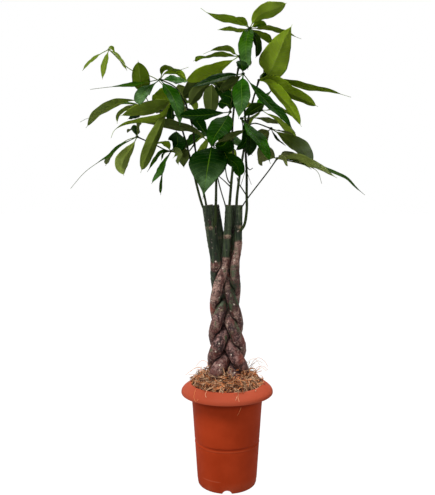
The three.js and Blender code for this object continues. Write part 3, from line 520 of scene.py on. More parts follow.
def bed_mesh(name, reach=1.0, closed=False):
    """The mound's top out to a share of its radius, and with closed its flat underside too."""
    angles = [2 * math.pi * k / BED_SECTORS for k in range(BED_SECTORS)]
    around = [(k, (k + 1) % BED_SECTORS) for k in range(BED_SECTORS)]
    points = [(0, 0, mulch_height(0, 0))]
    for ring in range(1, BED_RINGS + 1):
        radius = reach * MULCH["radius"] * ring / BED_RINGS
        points += [(radius * math.cos(a), radius * math.sin(a), mulch_height(radius, a)) for a in angles]
    start = lambda ring: 1 + (ring - 1) * BED_SECTORS
    faces = [(0, 1 + k, 1 + after) for k, after in around]
    for ring in range(1, BED_RINGS + (1 if closed else 0)):
        here, out = start(ring), start(ring + 1)
        faces += [(here + k, out + k, out + after, here + after) for k, after in around]
    if closed:
        edge = MULCH["radius"] - 1
        points += [(edge * math.cos(a), edge * math.sin(a), MULCH["bottom"]) for a in angles]
        faces.append(tuple(start(BED_RINGS + 1) + k for k in reversed(range(BED_SECTORS))))
    return mesh_of(name, points, faces)


look = Finish("coir_bed_painted_shade")
strands = look.noise(170, 4, 0.7)
# The nearly black base is painted shade in the gaps between the fibres.
colour = look.layered(
    (0.010, 0.004, 0.002),
    (look.rise(strands, 0.35, 0.68), (0.10, 0.038, 0.012)),
    (look.rise(look.noise(45, 3), 0.5, 0.75, 0.6), (0.05, 0.025, 0.012)),
)
matted_shaded_coir = look.made(colour, 0.95, relief=(strands, 1.0, 0.002))
bed = bed_mesh("coir_bed", closed=True)
coat(bed, matted_shaded_coir, sharp_above=60)
finish_piece(show("coir_bed", bed), "coir", "coir_mulch")

# %% [markdown]
# ## Fibre finish
# Each fibre has a tone of its own, from dark husk to bleached straw. The tone is a random number that the
# scatter below stores on every fibre, and the finish turns it into colour. So thousands of fibres share
# one material and still differ.

# %% Fibre finish
look = Finish("coir_fibre")
tone = look.number("fibre_tone")
colour = look.layered(
    (0.12, 0.036, 0.014),
    (look.rise(tone, 0.28, 0.42), (0.98, 0.360, 0.130)),
    (look.rise(tone, 0.52, 0.78), (1.0, 0.68, 0.42)),
    (look.rise(look.noise(55, 2), 0.46, 0.66, 0.4), (0.24, 0.085, 0.030)),
)
fibre_finish = look.made(colour, 0.7)

# %% [markdown]
# ## Geometry Nodes helpers
# A node tree is a recipe with named inputs. The first helper starts one. The last puts it on a plan mesh,
# gives its inputs by their identifiers, and keeps the result as a plain mesh, because instances and live
# modifiers don't survive an export.

# %% Helpers for node recipes
def recipe(name, wanted):
    tree = bpy.data.node_groups.new(name, "GeometryNodeTree")
    tree.interface.new_socket("Geometry", in_out="INPUT", socket_type="NodeSocketGeometry")
    keys = {}
    for label, kind in wanted.items():
        socket = tree.interface.new_socket(label, in_out="INPUT", socket_type="NodeSocket" + kind)
        keys[label] = socket.identifier
    tree.interface.new_socket("Geometry", in_out="OUTPUT", socket_type="NodeSocketGeometry")
    return tree, keys, tree.nodes.new("NodeGroupInput").outputs


def end_recipe(tree, geometry, finish):
    """Every recipe ends the same way: real geometry, smooth shading and a material."""
    real = add(tree, "GeometryNodeRealizeInstances", {"Geometry": geometry})
    soft = add(tree, "GeometryNodeSetShadeSmooth", {"Geometry": real})
    dressed = add(tree, "GeometryNodeSetMaterial", {"Geometry": soft, "Material": finish})
    add(tree, "NodeGroupOutput", {0: dressed})
    print("recipe:", tree.name, "nodes:", len(tree.nodes))


def grown(name, plan, made, values):
    """The recipe's result on a plan mesh, as an object with a plain mesh."""
    tree, keys, _ = made
    carrier = show(name + "_plan", plan)
    modifier = carrier.modifiers.new("recipe", "NODES")
    modifier.node_group = tree
    for label, value in values.items():
        modifier[keys[label]] = value
    return show(name, evaluated_mesh(carrier))


def vector_maths(tree, operation, *values, **scale):
    return add(tree, "ShaderNodeVectorMath", {**dict(enumerate(values)), **scale}, operation=operation)


def random_number(tree, kind, low, high, seed):
    made = add(tree, "FunctionNodeRandomValue", {"Seed": seed}, data_type=kind)
    limits = [socket for socket in made.inputs if socket.enabled and socket.name in ("Min", "Max")]
    for socket, value in zip(limits, (low, high)):
        socket.default_value = value
    return made


# %% [markdown]
# ## Scattered fibres
# Thousands of fibres follow the mound's surface, which is work for Geometry Nodes. Points fall on the
# surface, each gets one of several bent fibres, and each is turned, tilted and scaled at random. After
# that a coarse noise bends the real fibres once more, so that no two keep the same curve.

# %% Fibre shapes
START, END = (-0.5, 0, -0.02), (0.5, 0, 0.04)   # where a fibre starts and ends, for a length of 1
BENDS = [(0.05, 0.25, 0.22), (-0.12, -0.32, 0.10), (0.20, 0.15, 0.36), (0.0, -0.6, 0.15), (-0.2, 0.45, 0.28)]
scatter = recipe("coir_scatter", {
    "Fibres per m2": "Float", "Fibre Length": "Float", "Fibre Thickness": "Float", "Tilt": "Float",
    "Curl": "Float", "Seed": "Int", "Fibre Finish": "Material",
})
tree, _, given = scatter
section = add(tree, "GeometryNodeCurvePrimitiveCircle", {"Resolution": 3, "Radius": given["Fibre Thickness"]})
kinds = add(tree, "GeometryNodeJoinGeometry")
for bend in BENDS:
    places = {"Start": START, "Middle": bend, "End": END}
    for name, place in places.items():
        places[name] = vector_maths(tree, "SCALE", place, Scale=given["Fibre Length"])
    line = add(tree, "GeometryNodeCurveQuadraticBezier", {"Resolution": 6, **places})
    swept = {"Curve": line, "Profile Curve": section, "Fill Caps": True}
    strand = add(tree, "GeometryNodeCurveToMesh", swept)
    put(tree, kinds.inputs[0], add(tree, "GeometryNodeGeometryToInstance", {0: strand}))
print("kinds of fibre:", len(BENDS))

# %% Fibre scatter
SMALLEST, LARGEST = 0.45, 1.25   # shares of the fibre length
dots = add(tree, "GeometryNodeDistributePointsOnFaces", {
    "Mesh": given["Geometry"], "Density": given["Fibres per m2"], "Seed": given["Seed"],
})
leaning = add(tree, "ShaderNodeCombineXYZ", {0: given["Tilt"], 1: given["Tilt"], 2: 1.0})
tilts = random_number(tree, "FLOAT_VECTOR", (-1, -1, -2 * math.pi), (1, 1, 2 * math.pi), 3)
turn = add(tree, "FunctionNodeEulerToRotation", {0: vector_maths(tree, "MULTIPLY", tilts, leaning)})
turns = {"Rotation": dots.outputs["Rotation"], "Rotate By": turn}
size = random_number(tree, "FLOAT", SMALLEST, LARGEST, 8)
laid = add(tree, "GeometryNodeInstanceOnPoints", {
    "Points": dots, "Instance": kinds, "Pick Instance": True,
    "Instance Index": random_number(tree, "INT", 0, len(BENDS) - 1, 5),
    "Rotation": add(tree, "FunctionNodeRotateRotation", turns, rotation_space="LOCAL"),
    "Scale": add(tree, "ShaderNodeCombineXYZ", {0: size, 1: size, 2: size}),
})
toned = add(tree, "GeometryNodeStoreNamedAttribute", {
    "Geometry": laid, "Name": "fibre_tone", "Value": random_number(tree, "FLOAT", 0, 1, 12),
}, data_type="FLOAT", domain="INSTANCE")
real = add(tree, "GeometryNodeRealizeInstances", {"Geometry": toned})
bends = add(tree, "ShaderNodeTexNoise", {"Scale": 48.0, "Detail": 1.0}).outputs["Color"]
centred = vector_maths(tree, "SUBTRACT", bends, (0.5, 0.5, 0.5))
curl = vector_maths(tree, "SCALE", centred, Scale=given["Curl"])
curled = add(tree, "GeometryNodeSetPosition", {"Geometry": real, "Offset": curl})
end_recipe(tree, curled, given["Fibre Finish"])

# %% Coir fibres
FIBRE_KINDS = {   # reach on the mound, fibres to a square metre, length and thickness in m, tilt, curl, seed
    "coir_fibres": (0.95, 75000.0, 0.032, 0.0005, 0.42, 0.024, 7),
    "coir_coarse": (0.86, 62000.0, 0.044, 0.00075, 0.36, 0.026, 19),
    "coir_wild": (0.72, 34000.0, 0.054, 0.0006, 0.9, 0.034, 31),
}
for name, (reach, *values) in FIBRE_KINDS.items():
    labels = ("Fibres per m2", "Fibre Length", "Fibre Thickness", "Tilt", "Curl", "Seed")
    given = {**dict(zip(labels, values)), "Fibre Finish": fibre_finish}
    finish_piece(grown(name, bed_mesh(name + "_plan", reach), scatter, given), "coir")

# %% [markdown]
# ## Swept stems
# Trunks, shoots and loose fibres all follow a path, so they share one recipe. Its plan is a line of
# points, each with its own girth. The recipe turns the line into a curve, sweeps a ring along it, and
# pushes the surface in and out: lumps for growth, and rings for the scars that old leaves left.

# %% Stem recipe
stem = recipe("stem_sweep", {
    "Sides": "Int", "Lump Height": "Float", "Lump Size": "Float", "Ring Height": "Float",
    "Ring Rate": "Float", "Seed": "Float", "Stem Finish": "Material",
})
tree, _, given = stem


def node_maths(operation, *values):
    return add(tree, "ShaderNodeMath", dict(enumerate(values)), operation=operation)


line = add(tree, "GeometryNodeMeshToCurve", {"Mesh": given["Geometry"]})
length = add(tree, "GeometryNodeSplineParameter").outputs["Length"]
measured = add(tree, "GeometryNodeStoreNamedAttribute", {
    "Geometry": line, "Name": "along", "Value": length,
}, data_type="FLOAT", domain="POINT")
section = add(tree, "GeometryNodeCurvePrimitiveCircle", {"Resolution": given["Sides"], "Radius": 1.0})
bar = add(tree, "GeometryNodeCurveToMesh", {
    "Curve": measured, "Profile Curve": section, "Fill Caps": True,
    "Scale": add(tree, "GeometryNodeInputNamedAttribute", {"Name": "girth"}, data_type="FLOAT"),
})
slender = vector_maths(tree, "MULTIPLY", add(tree, "GeometryNodeInputPosition"), (1, 1, 0.45))
lumps = add(tree, "ShaderNodeTexNoise", {
    "Vector": slender, "W": given["Seed"], "Scale": given["Lump Size"], "Detail": 2.0,
}, noise_dimensions="4D")
lump = node_maths("MULTIPLY", node_maths("SUBTRACT", lumps, 0.5), given["Lump Height"])
along = add(tree, "GeometryNodeInputNamedAttribute", {"Name": "along"}, data_type="FLOAT")
beat = node_maths("ADD", node_maths("MULTIPLY", along, given["Ring Rate"]), given["Seed"])
scars = add(tree, "ShaderNodeTexNoise", {"W": beat, "Scale": 1.0, "Detail": 1.0}, noise_dimensions="1D")
scarred = add(tree, "ShaderNodeMapRange", {
    "Value": scars, "From Min": 0.52, "From Max": 0.7, "To Min": 0.0, "To Max": 1.0,
}, interpolation_type="SMOOTHSTEP")
push = node_maths("ADD", lump, node_maths("MULTIPLY", scarred, given["Ring Height"]))
outward = vector_maths(tree, "SCALE", add(tree, "GeometryNodeInputNormal"), Scale=push)
pushed = add(tree, "GeometryNodeSetPosition", {"Geometry": bar, "Offset": outward})
end_recipe(tree, pushed, given["Stem Finish"])


# %% Stem plans
def give_numbers(mesh, numbers):
    """Stores one number a point under each name."""
    for name, values in numbers.items():
        mesh.attributes.new(name, "FLOAT", "POINT").data.foreach_set("value", [float(v) for v in values])


def stem_piece(name, lines, sides, finish, numbers=None, lumps=(0.0, 60.0), rings=(0.0, 10.0), seed=0.0):
    """A swept piece. Each line is (points in mm, girths in mm), and numbers holds more for each point."""
    points, girths, edges = [], [], []
    for places, radii in lines:
        start = len(points)
        points += [tuple(p) for p in places]
        girths += [float(r) * MM for r in radii]
        edges += [(start + i, start + i + 1) for i in range(len(places) - 1)]
    plan = mesh_of(name + "_plan", points, [], edges)
    give_numbers(plan, {"girth": girths, **(numbers or {})})
    return grown(name, plan, stem, {
        "Sides": sides, "Lump Height": lumps[0], "Lump Size": lumps[1], "Ring Height": rings[0],
        "Ring Rate": rings[1], "Seed": seed, "Stem Finish": finish,
    })


# %% [markdown]
# ## Bark
# Low down the bark is mauve-brown, corky, and ringed with scars. Higher up it turns tan, and at the top
# it is still green and smooth. Each trunk changes at its own heights, so its plan carries numbers at
# every point: how green it is, how tan, and whether an old leaf's ring is there. The finish lets noise eat
# into the borders. Some places are redder. Pale specks are breathing pores and nicks, and where two
# trunks touch the bark is darkened with painted shade. The sawn ends show dry brown wood.

# %% Bark colours
KNOTS = {   # scars where a shoot left the trunk's side: across, depth, height, radius in mm
    "left_front": (-37, -23, 583, 7), "centre": (2, -17, 563, 8), "right": (30, -16, 584, 7),
    "low_nick": (-13, -30, 398, 6), "middle_nick": (3, -32, 445, 5), "foot_nick": (12, -34, 350, 6),
}
RED_PATCHES = {   # where the bark is redder: across, depth, height, radius in mm
    "left_edge": (-42, 3, 400, 26), "right_edge": (38, -12, 336, 24), "middle": (7, 0, 482, 15),
    "low_left": (-34, -18, 312, 16), "low_right": (30, -30, 290, 14),
}
look = Finish("money_tree_bark")
coarse = look.noise(38, 4, 0.6)
grain = look.noise(230, 4, 0.65)
upright = look.noise(95, 3, 0.6, stretch=(1, 1, 0.13))
brown = look.layered(
    (0.042, 0.013, 0.013),
    (look.rise(coarse, 0.38, 0.62), (0.210, 0.078, 0.066)),
    (look.rise(look.noise(19, 2), 0.52, 0.68, 0.7), (0.165, 0.046, 0.034)),
    (look.rise(upright, 0.50, 0.60, 0.75), (0.44, 0.235, 0.215)),
    (look.rise(grain, 0.53, 0.64, 0.6), (0.52, 0.32, 0.30)),
    (look.rise(grain, 0.48, 0.38, 0.75), (0.014, 0.005, 0.006)),
)
tanned = look.layered(
    (0.15, 0.050, 0.040),
    (look.rise(upright, 0.42, 0.58), (0.60, 0.37, 0.31)),
    (look.rise(grain, 0.49, 0.40, 0.85), (0.035, 0.013, 0.012)),
)
leafy = look.layered(
    (0.012, 0.028, 0.011),
    (look.rise(upright, 0.40, 0.64), (0.084, 0.124, 0.056)),
    (look.rise(grain, 0.58, 0.76, 0.6), (0.20, 0.19, 0.11)),
)
sawn = look.layered((0.07, 0.045, 0.03), (look.rise(grain, 0.35, 0.65), (0.24, 0.17, 0.11)))
scab = look.layered((0.08, 0.035, 0.022), (look.rise(grain, 0.4, 0.6), (0.58, 0.42, 0.28)))
print("knots:", len(KNOTS), "red places:", len(RED_PATCHES))

# %% Bark finish
TOP_EDGE = (0.6338, 0.6348)   # metres: the bark ends and the sawn wood begins
noises = look.maths("ADD", coarse, look.maths("ADD", grain, upright))
uneven = look.maths("MULTIPLY_ADD", noises, 2.0, -3.0)
tan_share = look.rise(look.maths("ADD", look.number("tan"), uneven), 0.25, 0.8)
green_share = look.rise(look.maths("ADD", look.number("green"), uneven), 0.3, 0.7)
not_green = look.maths("SUBTRACT", 1.0, look.times(green_share, 0.8))
red_patches = []
for *place, radius in RED_PATCHES.values():
    away = look.maths("MULTIPLY_ADD", coarse, 0.02, look.away_from(place))
    red_share = look.rise(away, radius * MM + 0.012, radius * MM * 0.4 + 0.008, 0.85)
    red_patches.append((red_share, (0.40, 0.085, 0.048)))
knotty = 0.0
for *place, radius in KNOTS.values():
    ragged = look.maths("MULTIPLY_ADD", grain, 0.011, look.away_from(place))
    knot_share = look.rise(ragged, radius * MM + 0.0055, radius * MM * 0.4 + 0.0045)
    knotty = look.maths("MAXIMUM", knotty, knot_share)
beat = look.times(look.number("along"), 240.0)
rings = add(look.tree, "ShaderNodeTexNoise", {"W": beat, "Scale": 1.0, "Detail": 1.0}, noise_dimensions="1D")
ring_line = look.rise(rings, 0.60, 0.72, 0.5)
specks = look.cells(120)
chosen = look.rise(add(look.tree, "ShaderNodeSeparateColor", {0: specks.outputs["Color"]}), 0.82, 0.85)
speck = look.times(look.rise(look.maths("MULTIPLY_ADD", grain, 0.9, specks), 0.72, 0.62), chosen)
colour = look.layered(
    brown,
    (tan_share, tanned),
    (green_share, leafy),
    *red_patches,
    (look.times(look.number("swollen"), look.rise(grain, 0.42, 0.58, 0.8)), (0.50, 0.36, 0.26)),
    (look.times(ring_line, not_green), (0.055, 0.028, 0.026)),
    (look.times(speck, not_green), (0.84, 0.72, 0.60)),
    (look.times(knotty, 0.85), scab),
    # Painted shade where two trunks touch.
    (look.rise(look.number("crevice_shade"), 0.0, 1.0, 0.92), (0.006, 0.003, 0.003)),
    (look.rise(look.axes()[2], *TOP_EDGE), sawn),
)
rough = look.maths("ADD", look.times(grain, 0.6), look.times(upright, 0.5))
rough = look.maths("SUBTRACT", rough, look.times(ring_line, 0.6))
bark = look.made(colour, look.rise(green_share, 0, 1, 0.42, base=0.58), relief=(rough, 0.9, 0.0026))

# %% [markdown]
# ## Trunks
# A plait of five follows a rule: each trunk swings from side to side as a sine of the crossings that lie
# below it, and passes in front on its way out and behind on its way back. The crossings come closer
# together towards the pot, where the trunks are thick. Above the plait each trunk runs straight to its
# sawn top. The numbers are the part's own.

# %% Trunk rule
BRAID = dict(
    trunks=5, first_crossing=504, crossing_rate=0.0213, crossing_gain=3.61e-5, lowest=226, loosens=452,
    free=548, reach_high=23.5, reach_low=34, reach_from=420, depth_high=23.5, depth_low=27,
    offset_high=-4, offset_low=3,
)
GIRTH = dict(foot=15.6, plait=11.8, foot_to=235, plait_from=430, plait_to=440, top_from=560)
TRUNK_FOOT, TRUNK_TOP = 150, 635
TRUNKS = {   # free and top: across and depth where the plait ends and at the sawn top
    "trunk_centre": dict(free=(-1, -7), top=(5, -9), radius=8.6),
    "trunk_left_back": dict(free=(-14, 17), top=(-29, 16), radius=10),
    "trunk_centre_back": dict(free=(15, 17), top=(13, 14), radius=8.6),
    "trunk_left_front": dict(free=(-32, -9), top=(-45, -10), radius=12.6),
    "trunk_right": dict(free=(26, -5), top=(27, -8), radius=8.4),
}


def braided(order, height):
    z = max(height, BRAID["lowest"])
    down = BRAID["first_crossing"] - z
    crossings = BRAID["crossing_rate"] * down + BRAID["crossing_gain"] * down * down
    turn = math.pi * (crossings - order + (BRAID["trunks"] if order % 2 == 0 else 0)) / BRAID["trunks"]
    low = min(1, max(0, (BRAID["reach_from"] - z) / (BRAID["reach_from"] - BRAID["lowest"])))
    reach, depth, offset = (
        BRAID[side + "_high"] + (BRAID[side + "_low"] - BRAID[side + "_high"]) * low
        for side in ("reach", "depth", "offset")
    )
    return np.array([offset + reach * math.sin(turn), -depth * math.sin(2 * turn)])


def trunk_centre(order, height):
    own = list(TRUNKS.values())[order]
    rise = (height - BRAID["free"]) / (TRUNK_TOP - BRAID["free"])
    straight = np.array(own["free"]) + (np.array(own["top"]) - np.array(own["free"])) * rise
    held = braided(order, height)
    loose = float(step_between(height, BRAID["loosens"], BRAID["free"]))
    return (*(held + (straight - held) * loose), height)


def trunk_girth(order, height):
    slimmer = float(step_between(height, GIRTH["foot_to"], GIRTH["plait_from"]))
    body = GIRTH["foot"] + (GIRTH["plait"] - GIRTH["foot"]) * slimmer
    own = list(TRUNKS.values())[order]["radius"]
    return body + (own - body) * float(step_between(height, GIRTH["plait_to"], GIRTH["top_from"]))


print("thickest trunk foot in mm:", 2 * trunk_girth(0, TRUNK_FOOT))

# %% Trunk colours by height
ZONES = {   # height in mm, how green, how tan
    "trunk_centre": [
        (635, 1, 0), (572, 1, 0), (566, 0.3, 0.9), (560, 0.3, 0.9), (554, 1.1, 0), (520, 1.1, 0), (512, 0, 1),
        (450, 0, 1), (420, 0.15, 0.6), (380, 0.1, 0.3), (340, 0, 0.1), (150, 0, 0),
    ],
    "trunk_left_back": [
        (635, 0.9, 0), (575, 0.9, 0), (530, 0.8, 0), (500, 0.1, 0.2), (472, 0, 0.9), (446, 0.3, 0.8),
        (436, 0.6, 0.5), (408, 0.6, 0.5), (396, 0.1, 0.9), (345, 0, 0.2), (150, 0, 0),
    ],
    "trunk_centre_back": [
        (635, 1, 0), (560, 0.7, 0), (520, 0.1, 0.6), (450, 0.1, 0.4), (425, 0.5, 0.2), (395, 0.5, 0.2),
        (375, 0.1, 0.3), (330, 0, 0.1), (150, 0, 0),
    ],
    "trunk_left_front": [
        (635, 1, 0), (512, 1, 0), (505, 0.2, 0.9), (490, 0.2, 0.9), (484, 1.1, 0), (440, 1, 0),
        (420, 0.2, 0.3), (395, 0.1, 0.6), (365, 0.2, 0.6), (350, 0.6, 0.2), (330, 0.1, 0.2), (150, 0, 0),
    ],
    "trunk_right": [
        (635, 1, 0), (562, 1, 0), (548, 0.1, 1), (506, 0.1, 0.95), (494, 0.45, 0.6), (455, 0.45, 0.4),
        (436, 0.05, 0.35), (400, 0.05, 0.2), (340, 0.1, 0.1), (150, 0, 0),
    ],
}
SWELLS = {   # rings that stand out: height, how much thicker, how long along the trunk
    "trunk_centre": [(564, 0.07, 4), (514, 0.09, 4), (491, 0.06, 10)],
    "trunk_left_back": [(560, 0.06, 5)],
    "trunk_centre_back": [(530, 0.06, 5), (491, 0.2, 16)],
    "trunk_left_front": [(584, 0.04, 5), (497, 0.05, 6)],
    "trunk_right": [(586, 0.09, 6), (546, 0.05, 4)],
}
RING_MARK = 1.8   # how far the mark of such a ring reaches along the trunk
print("zones:", sum(map(len, ZONES.values())), "rings:", sum(map(len, SWELLS.values())))

# %% Trunks
TRUNK_POINTS, TRUNK_SIDES = 150, 28
SAWN_EDGE = ((0.7, 0.985), (0.1, 0.95), (0.0, 0.88))   # mm below the top, and the share of girth there
CREVICE_DARK, CREVICE_REACH = 0.5, 6.0   # mm from a neighbour: the painted shade is darkest up to one, and gone past the other
trunk_rows = np.linspace(TRUNK_FOOT, TRUNK_TOP, 200)
trunk_lines = [np.array([trunk_centre(order, z) for z in trunk_rows]) for order in range(len(TRUNKS))]
trunk_girths = [np.array([trunk_girth(order, z) for z in trunk_rows]) for order in range(len(TRUNKS))]


def painted_crevice_shade(order, mesh):
    """Painted shade for each point of a trunk's bark: 1 where it touches a neighbour and 0 from the reach on.
    """
    places = np.array([vertex.co for vertex in mesh.vertices]) / MM
    nearest = np.full(len(places), np.inf)
    for other, (line, girths) in enumerate(zip(trunk_lines, trunk_girths)):
        if other != order:
            away = np.linalg.norm(places[:, None] - line[None], axis=2) - girths[None]
            nearest = np.minimum(nearest, away.min(axis=1))
    return 1 - step_between(nearest, CREVICE_DARK, CREVICE_REACH)


low_rows = np.linspace(TRUNK_FOOT, TRUNK_TOP - 1.6, TRUNK_POINTS)
heights = np.concatenate([low_rows, [TRUNK_TOP - below for below, _ in SAWN_EDGE]])
for order, node in enumerate(TRUNKS):
    girths = np.array([trunk_girth(order, z) for z in heights])
    for ring_height, more, length_along in SWELLS[node]:
        girths *= 1 + more * bell(heights, ring_height, length_along)
    girths[-len(SAWN_EDGE):] *= [share for _, share in SAWN_EDGE]
    zones = np.array(ZONES[node][::-1], float)
    numbers = {name: np.interp(heights, zones[:, 0], zones[:, k]) for k, name in ((1, "green"), (2, "tan"))}
    numbers["swollen"] = sum(bell(heights, ring_height, RING_MARK) for ring_height, *_ in SWELLS[node])
    trunk = stem_piece(
        node + "_bark", [([trunk_centre(order, z) for z in heights], girths)], TRUNK_SIDES, bark, numbers,
        lumps=(0.0017, 30.0), rings=(0.0006, 150.0), seed=3.0 + 2.7 * order,
    )
    give_numbers(trunk.data, {"crevice_shade": painted_crevice_shade(order, trunk.data)})
    finish_piece(trunk, "bark", node)

# %% [markdown]
# ## Places in the picture
# The crown is laid out as it shows from the standpoint. A place is how far across and up it shows in the
# plane of the trunks, and how far it lies behind that plane. One function turns it into a real point, so
# moving a leaf back or forward never moves it in the picture.

# %% Layout and smooth paths
def seen(place):
    across, height, depth = place
    spread = 1 + depth / STANDPOINT_AWAY
    return np.array([across * spread, depth, STANDPOINT_HEIGHT + (height - STANDPOINT_HEIGHT) * spread])


def smooth_line(places, steps=24):
    """A dense line along the smooth curve through the places, a centripetal Catmull-Rom curve."""
    ends = np.array(places, float)
    ends = np.vstack([2 * ends[0] - ends[1], ends, 2 * ends[-1] - ends[-2]])
    share = np.linspace(0, 1, steps, endpoint=False)[:, None]
    parts = []
    for a, b, c, d in zip(ends, ends[1:], ends[2:], ends[3:]):
        before, own, after = (max(np.linalg.norm(q - p) ** 0.5, 0.01) for p, q in ((a, b), (b, c), (c, d)))
        leave = ((b - a) / before - (c - a) / (before + own) + (c - b) / own) * own
        arrive = ((c - b) / own - (d - b) / (own + after) + (d - c) / after) * own
        square, cube = 3 * (c - b) - 2 * leave - arrive, 2 * (b - c) + leave + arrive
        parts.append(b + leave * share + square * share**2 + cube * share**3)
    return np.vstack(parts + [ends[-2:-1]])


def walk(places, shares):
    """Points and directions at the given shares of a smooth curve's length."""
    line = smooth_line(places)
    run = np.concatenate([[0], np.cumsum(np.linalg.norm(np.diff(line, axis=0), axis=1))])
    run /= run[-1]
    slope = np.gradient(line, run, axis=0)
    points = np.column_stack([np.interp(shares, run, line[:, k]) for k in range(3)])
    ways = np.column_stack([np.interp(shares, run, slope[:, k]) for k in range(3)])
    return points, ways / np.linalg.norm(ways, axis=1)[:, None]


def path_length(places):
    return float(np.linalg.norm(np.diff(smooth_line(places), axis=0), axis=1).sum())


# %% [markdown]
# ## Shoots
# The shoots are long, thin and nearly black-green, with a slight joint wherever a leaf leaves them. They
# use the stem recipe again. Their side twigs, some of them dead stalks of lost leaves, are further lines in
# the same plan, each starting inside its shoot, so that it grows out of it.

# %% Shoot routes
SHOOTS = {
    "shoot_left_outer": dict(
        radii=(2.9, 1.9),
        route=[
            (-50, 618, -12), (-59, 640, -14), (-80, 722, -18),
            (-98, 791, -20), (-116, 846, -16), (-126, 866, -12),
        ],
    ),
    "shoot_left_inner": dict(
        radii=(2.7, 1.8),
        route=[
            (-46, 620, -6), (-49, 640, -3), (-53, 660, 2),
            (-74, 768, -22), (-79, 812, -38), (-96, 872, -50),
        ],
    ),
    "shoot_front": dict(
        radii=(3.5, 2),
        route=[
            (-40, 574, -12), (-28, 592, -21), (-26, 630, -30),
            (-25, 690, -52), (-24, 750, -62), (-8, 815, -72),
        ],
    ),
    "shoot_centre": dict(
        radii=(3.3, 1.8),
        route=[
            (4, 620, -9), (6, 642, -8), (10, 690, -2), (14, 740, 14), (12, 810, 34), (18, 880, 42),
            (24, 940, 30), (37, 990, 14), (50, 1032, 2),
        ],
    ),
    "shoot_right_inner": dict(
        radii=(3.2, 2),
        route=[(22, 620, -7), (22, 642, -4), (27, 690, 12), (38, 760, 34), (50, 840, 38), (73, 922, 16)],
    ),
    "shoot_right_outer": dict(
        radii=(3.3, 2),
        route=[
            (29, 574, -10), (39, 588, -18), (45, 622, -24), (45, 656, -30), (45, 709, -40), (43, 750, -50),
            (43, 800, -62), (40, 860, -86), (36, 906, -108),
        ],
    ),
}
TWIGS = {   # each twig: how far up its shoot it starts, the places it passes, and its two radii
    "shoot_centre": [
        (0.13, [(-6, 690, -16), (-20, 702, -26)], (1.5, 1.1)),
        (0.145, [(2, 692, -6), (-3, 712, -12), (-4, 730, -16)], (1.6, 1.2)),
    ],
    "shoot_right_inner": [
        (0.2, [(27, 708, 10), (25, 726, 4)], (1.6, 1.1)),
    ],
    "shoot_right_outer": [
        (0.265, [(33, 675, -24), (25, 688, -14), (23, 698, -8)], (1.6, 1.1)),
        (0.47, [(52, 716, -44), (59, 720, -46)], (1.3, 0.8)),
        (0.46, [(36, 694, -36), (30, 676, -34)], (0.8, 0.5)),
        (0.44, [(52, 692, -40), (56, 682, -38)], (0.6, 0.4)),
    ],
    "shoot_left_inner": [(0.35, [(-60, 704, -12), (-52, 716, -14)], (1.0, 0.7))],
}

print("shoots:", len(SHOOTS), "twigs:", sum(map(len, TWIGS.values())))

# %% Shoot finish
look = Finish("shoot_green")
long_grain = look.noise(160, 3, 0.6, stretch=(1, 1, 0.15))
colour = look.layered(
    (0.005, 0.009, 0.003),
    (look.rise(long_grain, 0.35, 0.68), (0.022, 0.036, 0.009)),
    (look.rise(look.noise(22, 2), 0.55, 0.75, 0.6), (0.026, 0.020, 0.009)),
    (look.rise(look.number("along"), 0.16, 0.05, 0.75), (0.050, 0.075, 0.022)),
)
stem_green = look.made(colour, 0.45, relief=(long_grain, 0.4, 0.0006), specular=0.12)

# %% [markdown]
# ## Leaves, as a list
# A leaf is a hand: a stalk, a hub at its end, and leaflets that spread from the hub. The list repeats the
# part's own places. For each leaflet it gives the tip, the width, and how far the blade is turned about its
# midrib: 0 shows the upper face to the front, 90 the edge, and 180 the underside. The foot is the bare share
# of its length and the tail the thread at its end. The form says where it is widest and how slender it is.
# The tone says how fresh, how brown and how much painted sheen it shows, each from 0 to 1. Freshness is
# partly a painted glow of light coming through, and brown partly painted shade.

# %% Leaflet entry
def blade(tip, wide, turn, via=(), tail=0.0, foot=0.09, form=(0.5, 1.2), tone=None):
    """One leaflet. An upturned underside gets a fresher tone by default: a painted glow of light coming
    through it.
    """
    if tone is None:
        # Upturned undersides get more freshness: a painted glow of light coming through them.
        tone = (0.62 if turn > 90 else 0.2, 0.1, 0.0)
    return dict(tip=tip, wide=wide, turn=turn, via=list(via), tail=tail, foot=foot, form=form, tone=tone)


LEAVES = {}

# %% Leaves on the left
LEAVES["leaf_far_left"] = dict(
    young=True, hub=(-272, 993, 5), grows=("shoot_left_outer", 0.985),
    stalk=[(-152, 916, -4), (-182, 934, -2), (-221, 946, 0)],
    leaflets=[
        blade((-333, 944, -15), 18, 64, via=[(-292, 982, -3), (-313, 965, -9)], foot=0.25),
        blade((-287, 924, -20), 18, 40),
        blade((-230, 944, 5), 16, 58, via=[(-254, 981, 6), (-243, 964, 6)]),
        blade((-257, 980, 68), 18, 60),
    ],
)
LEAVES["leaf_left_upper"] = dict(
    hub=(-154, 924, -60), grows=("shoot_left_inner", 0.98), stalk=[(-118, 905, -54)],
    leaflets=[
        blade(
            (-315, 901, -95), 24, 68, via=[(-182, 918, -64), (-223, 909, -74), (-265, 907, -84)],
            tail=0.3, foot=0.2, form=(0.45, 1.6), tone=(0.5, 0.5, 0),
        ),
        blade(
            (-89, 952, -112), 28, 118, via=[(-147, 943, -70), (-131, 947, -84), (-113, 945, -98)],
            tail=0.25, form=(0.38, 1.6), tone=(0.5, 0, 0.8),
        ),
        blade(
            (-92, 922, -58), 20, 134, via=[(-143, 937, -62), (-115, 940, -60)],
            form=(0.6, 1.3), tone=(0.9, 0, 0),
        ),
        blade((-88, 921, -20), 34, 60, via=[(-122, 921, -40)], form=(0.5, 1.3), tone=(0.5, 0, 0.3)),
        blade(
            (-108, 813, -140), 36, 36, via=[(-131, 895, -88), (-115, 860, -116)],
            form=(0.42, 1.35), tone=(0.4, 0, 0.5),
        ),
        blade(
            (-201, 863, -134), 31, 24, via=[(-177, 906, -86), (-195, 889, -112)],
            form=(0.72, 1.1), tone=(0.3, 0, 1),
        ),
    ],
)
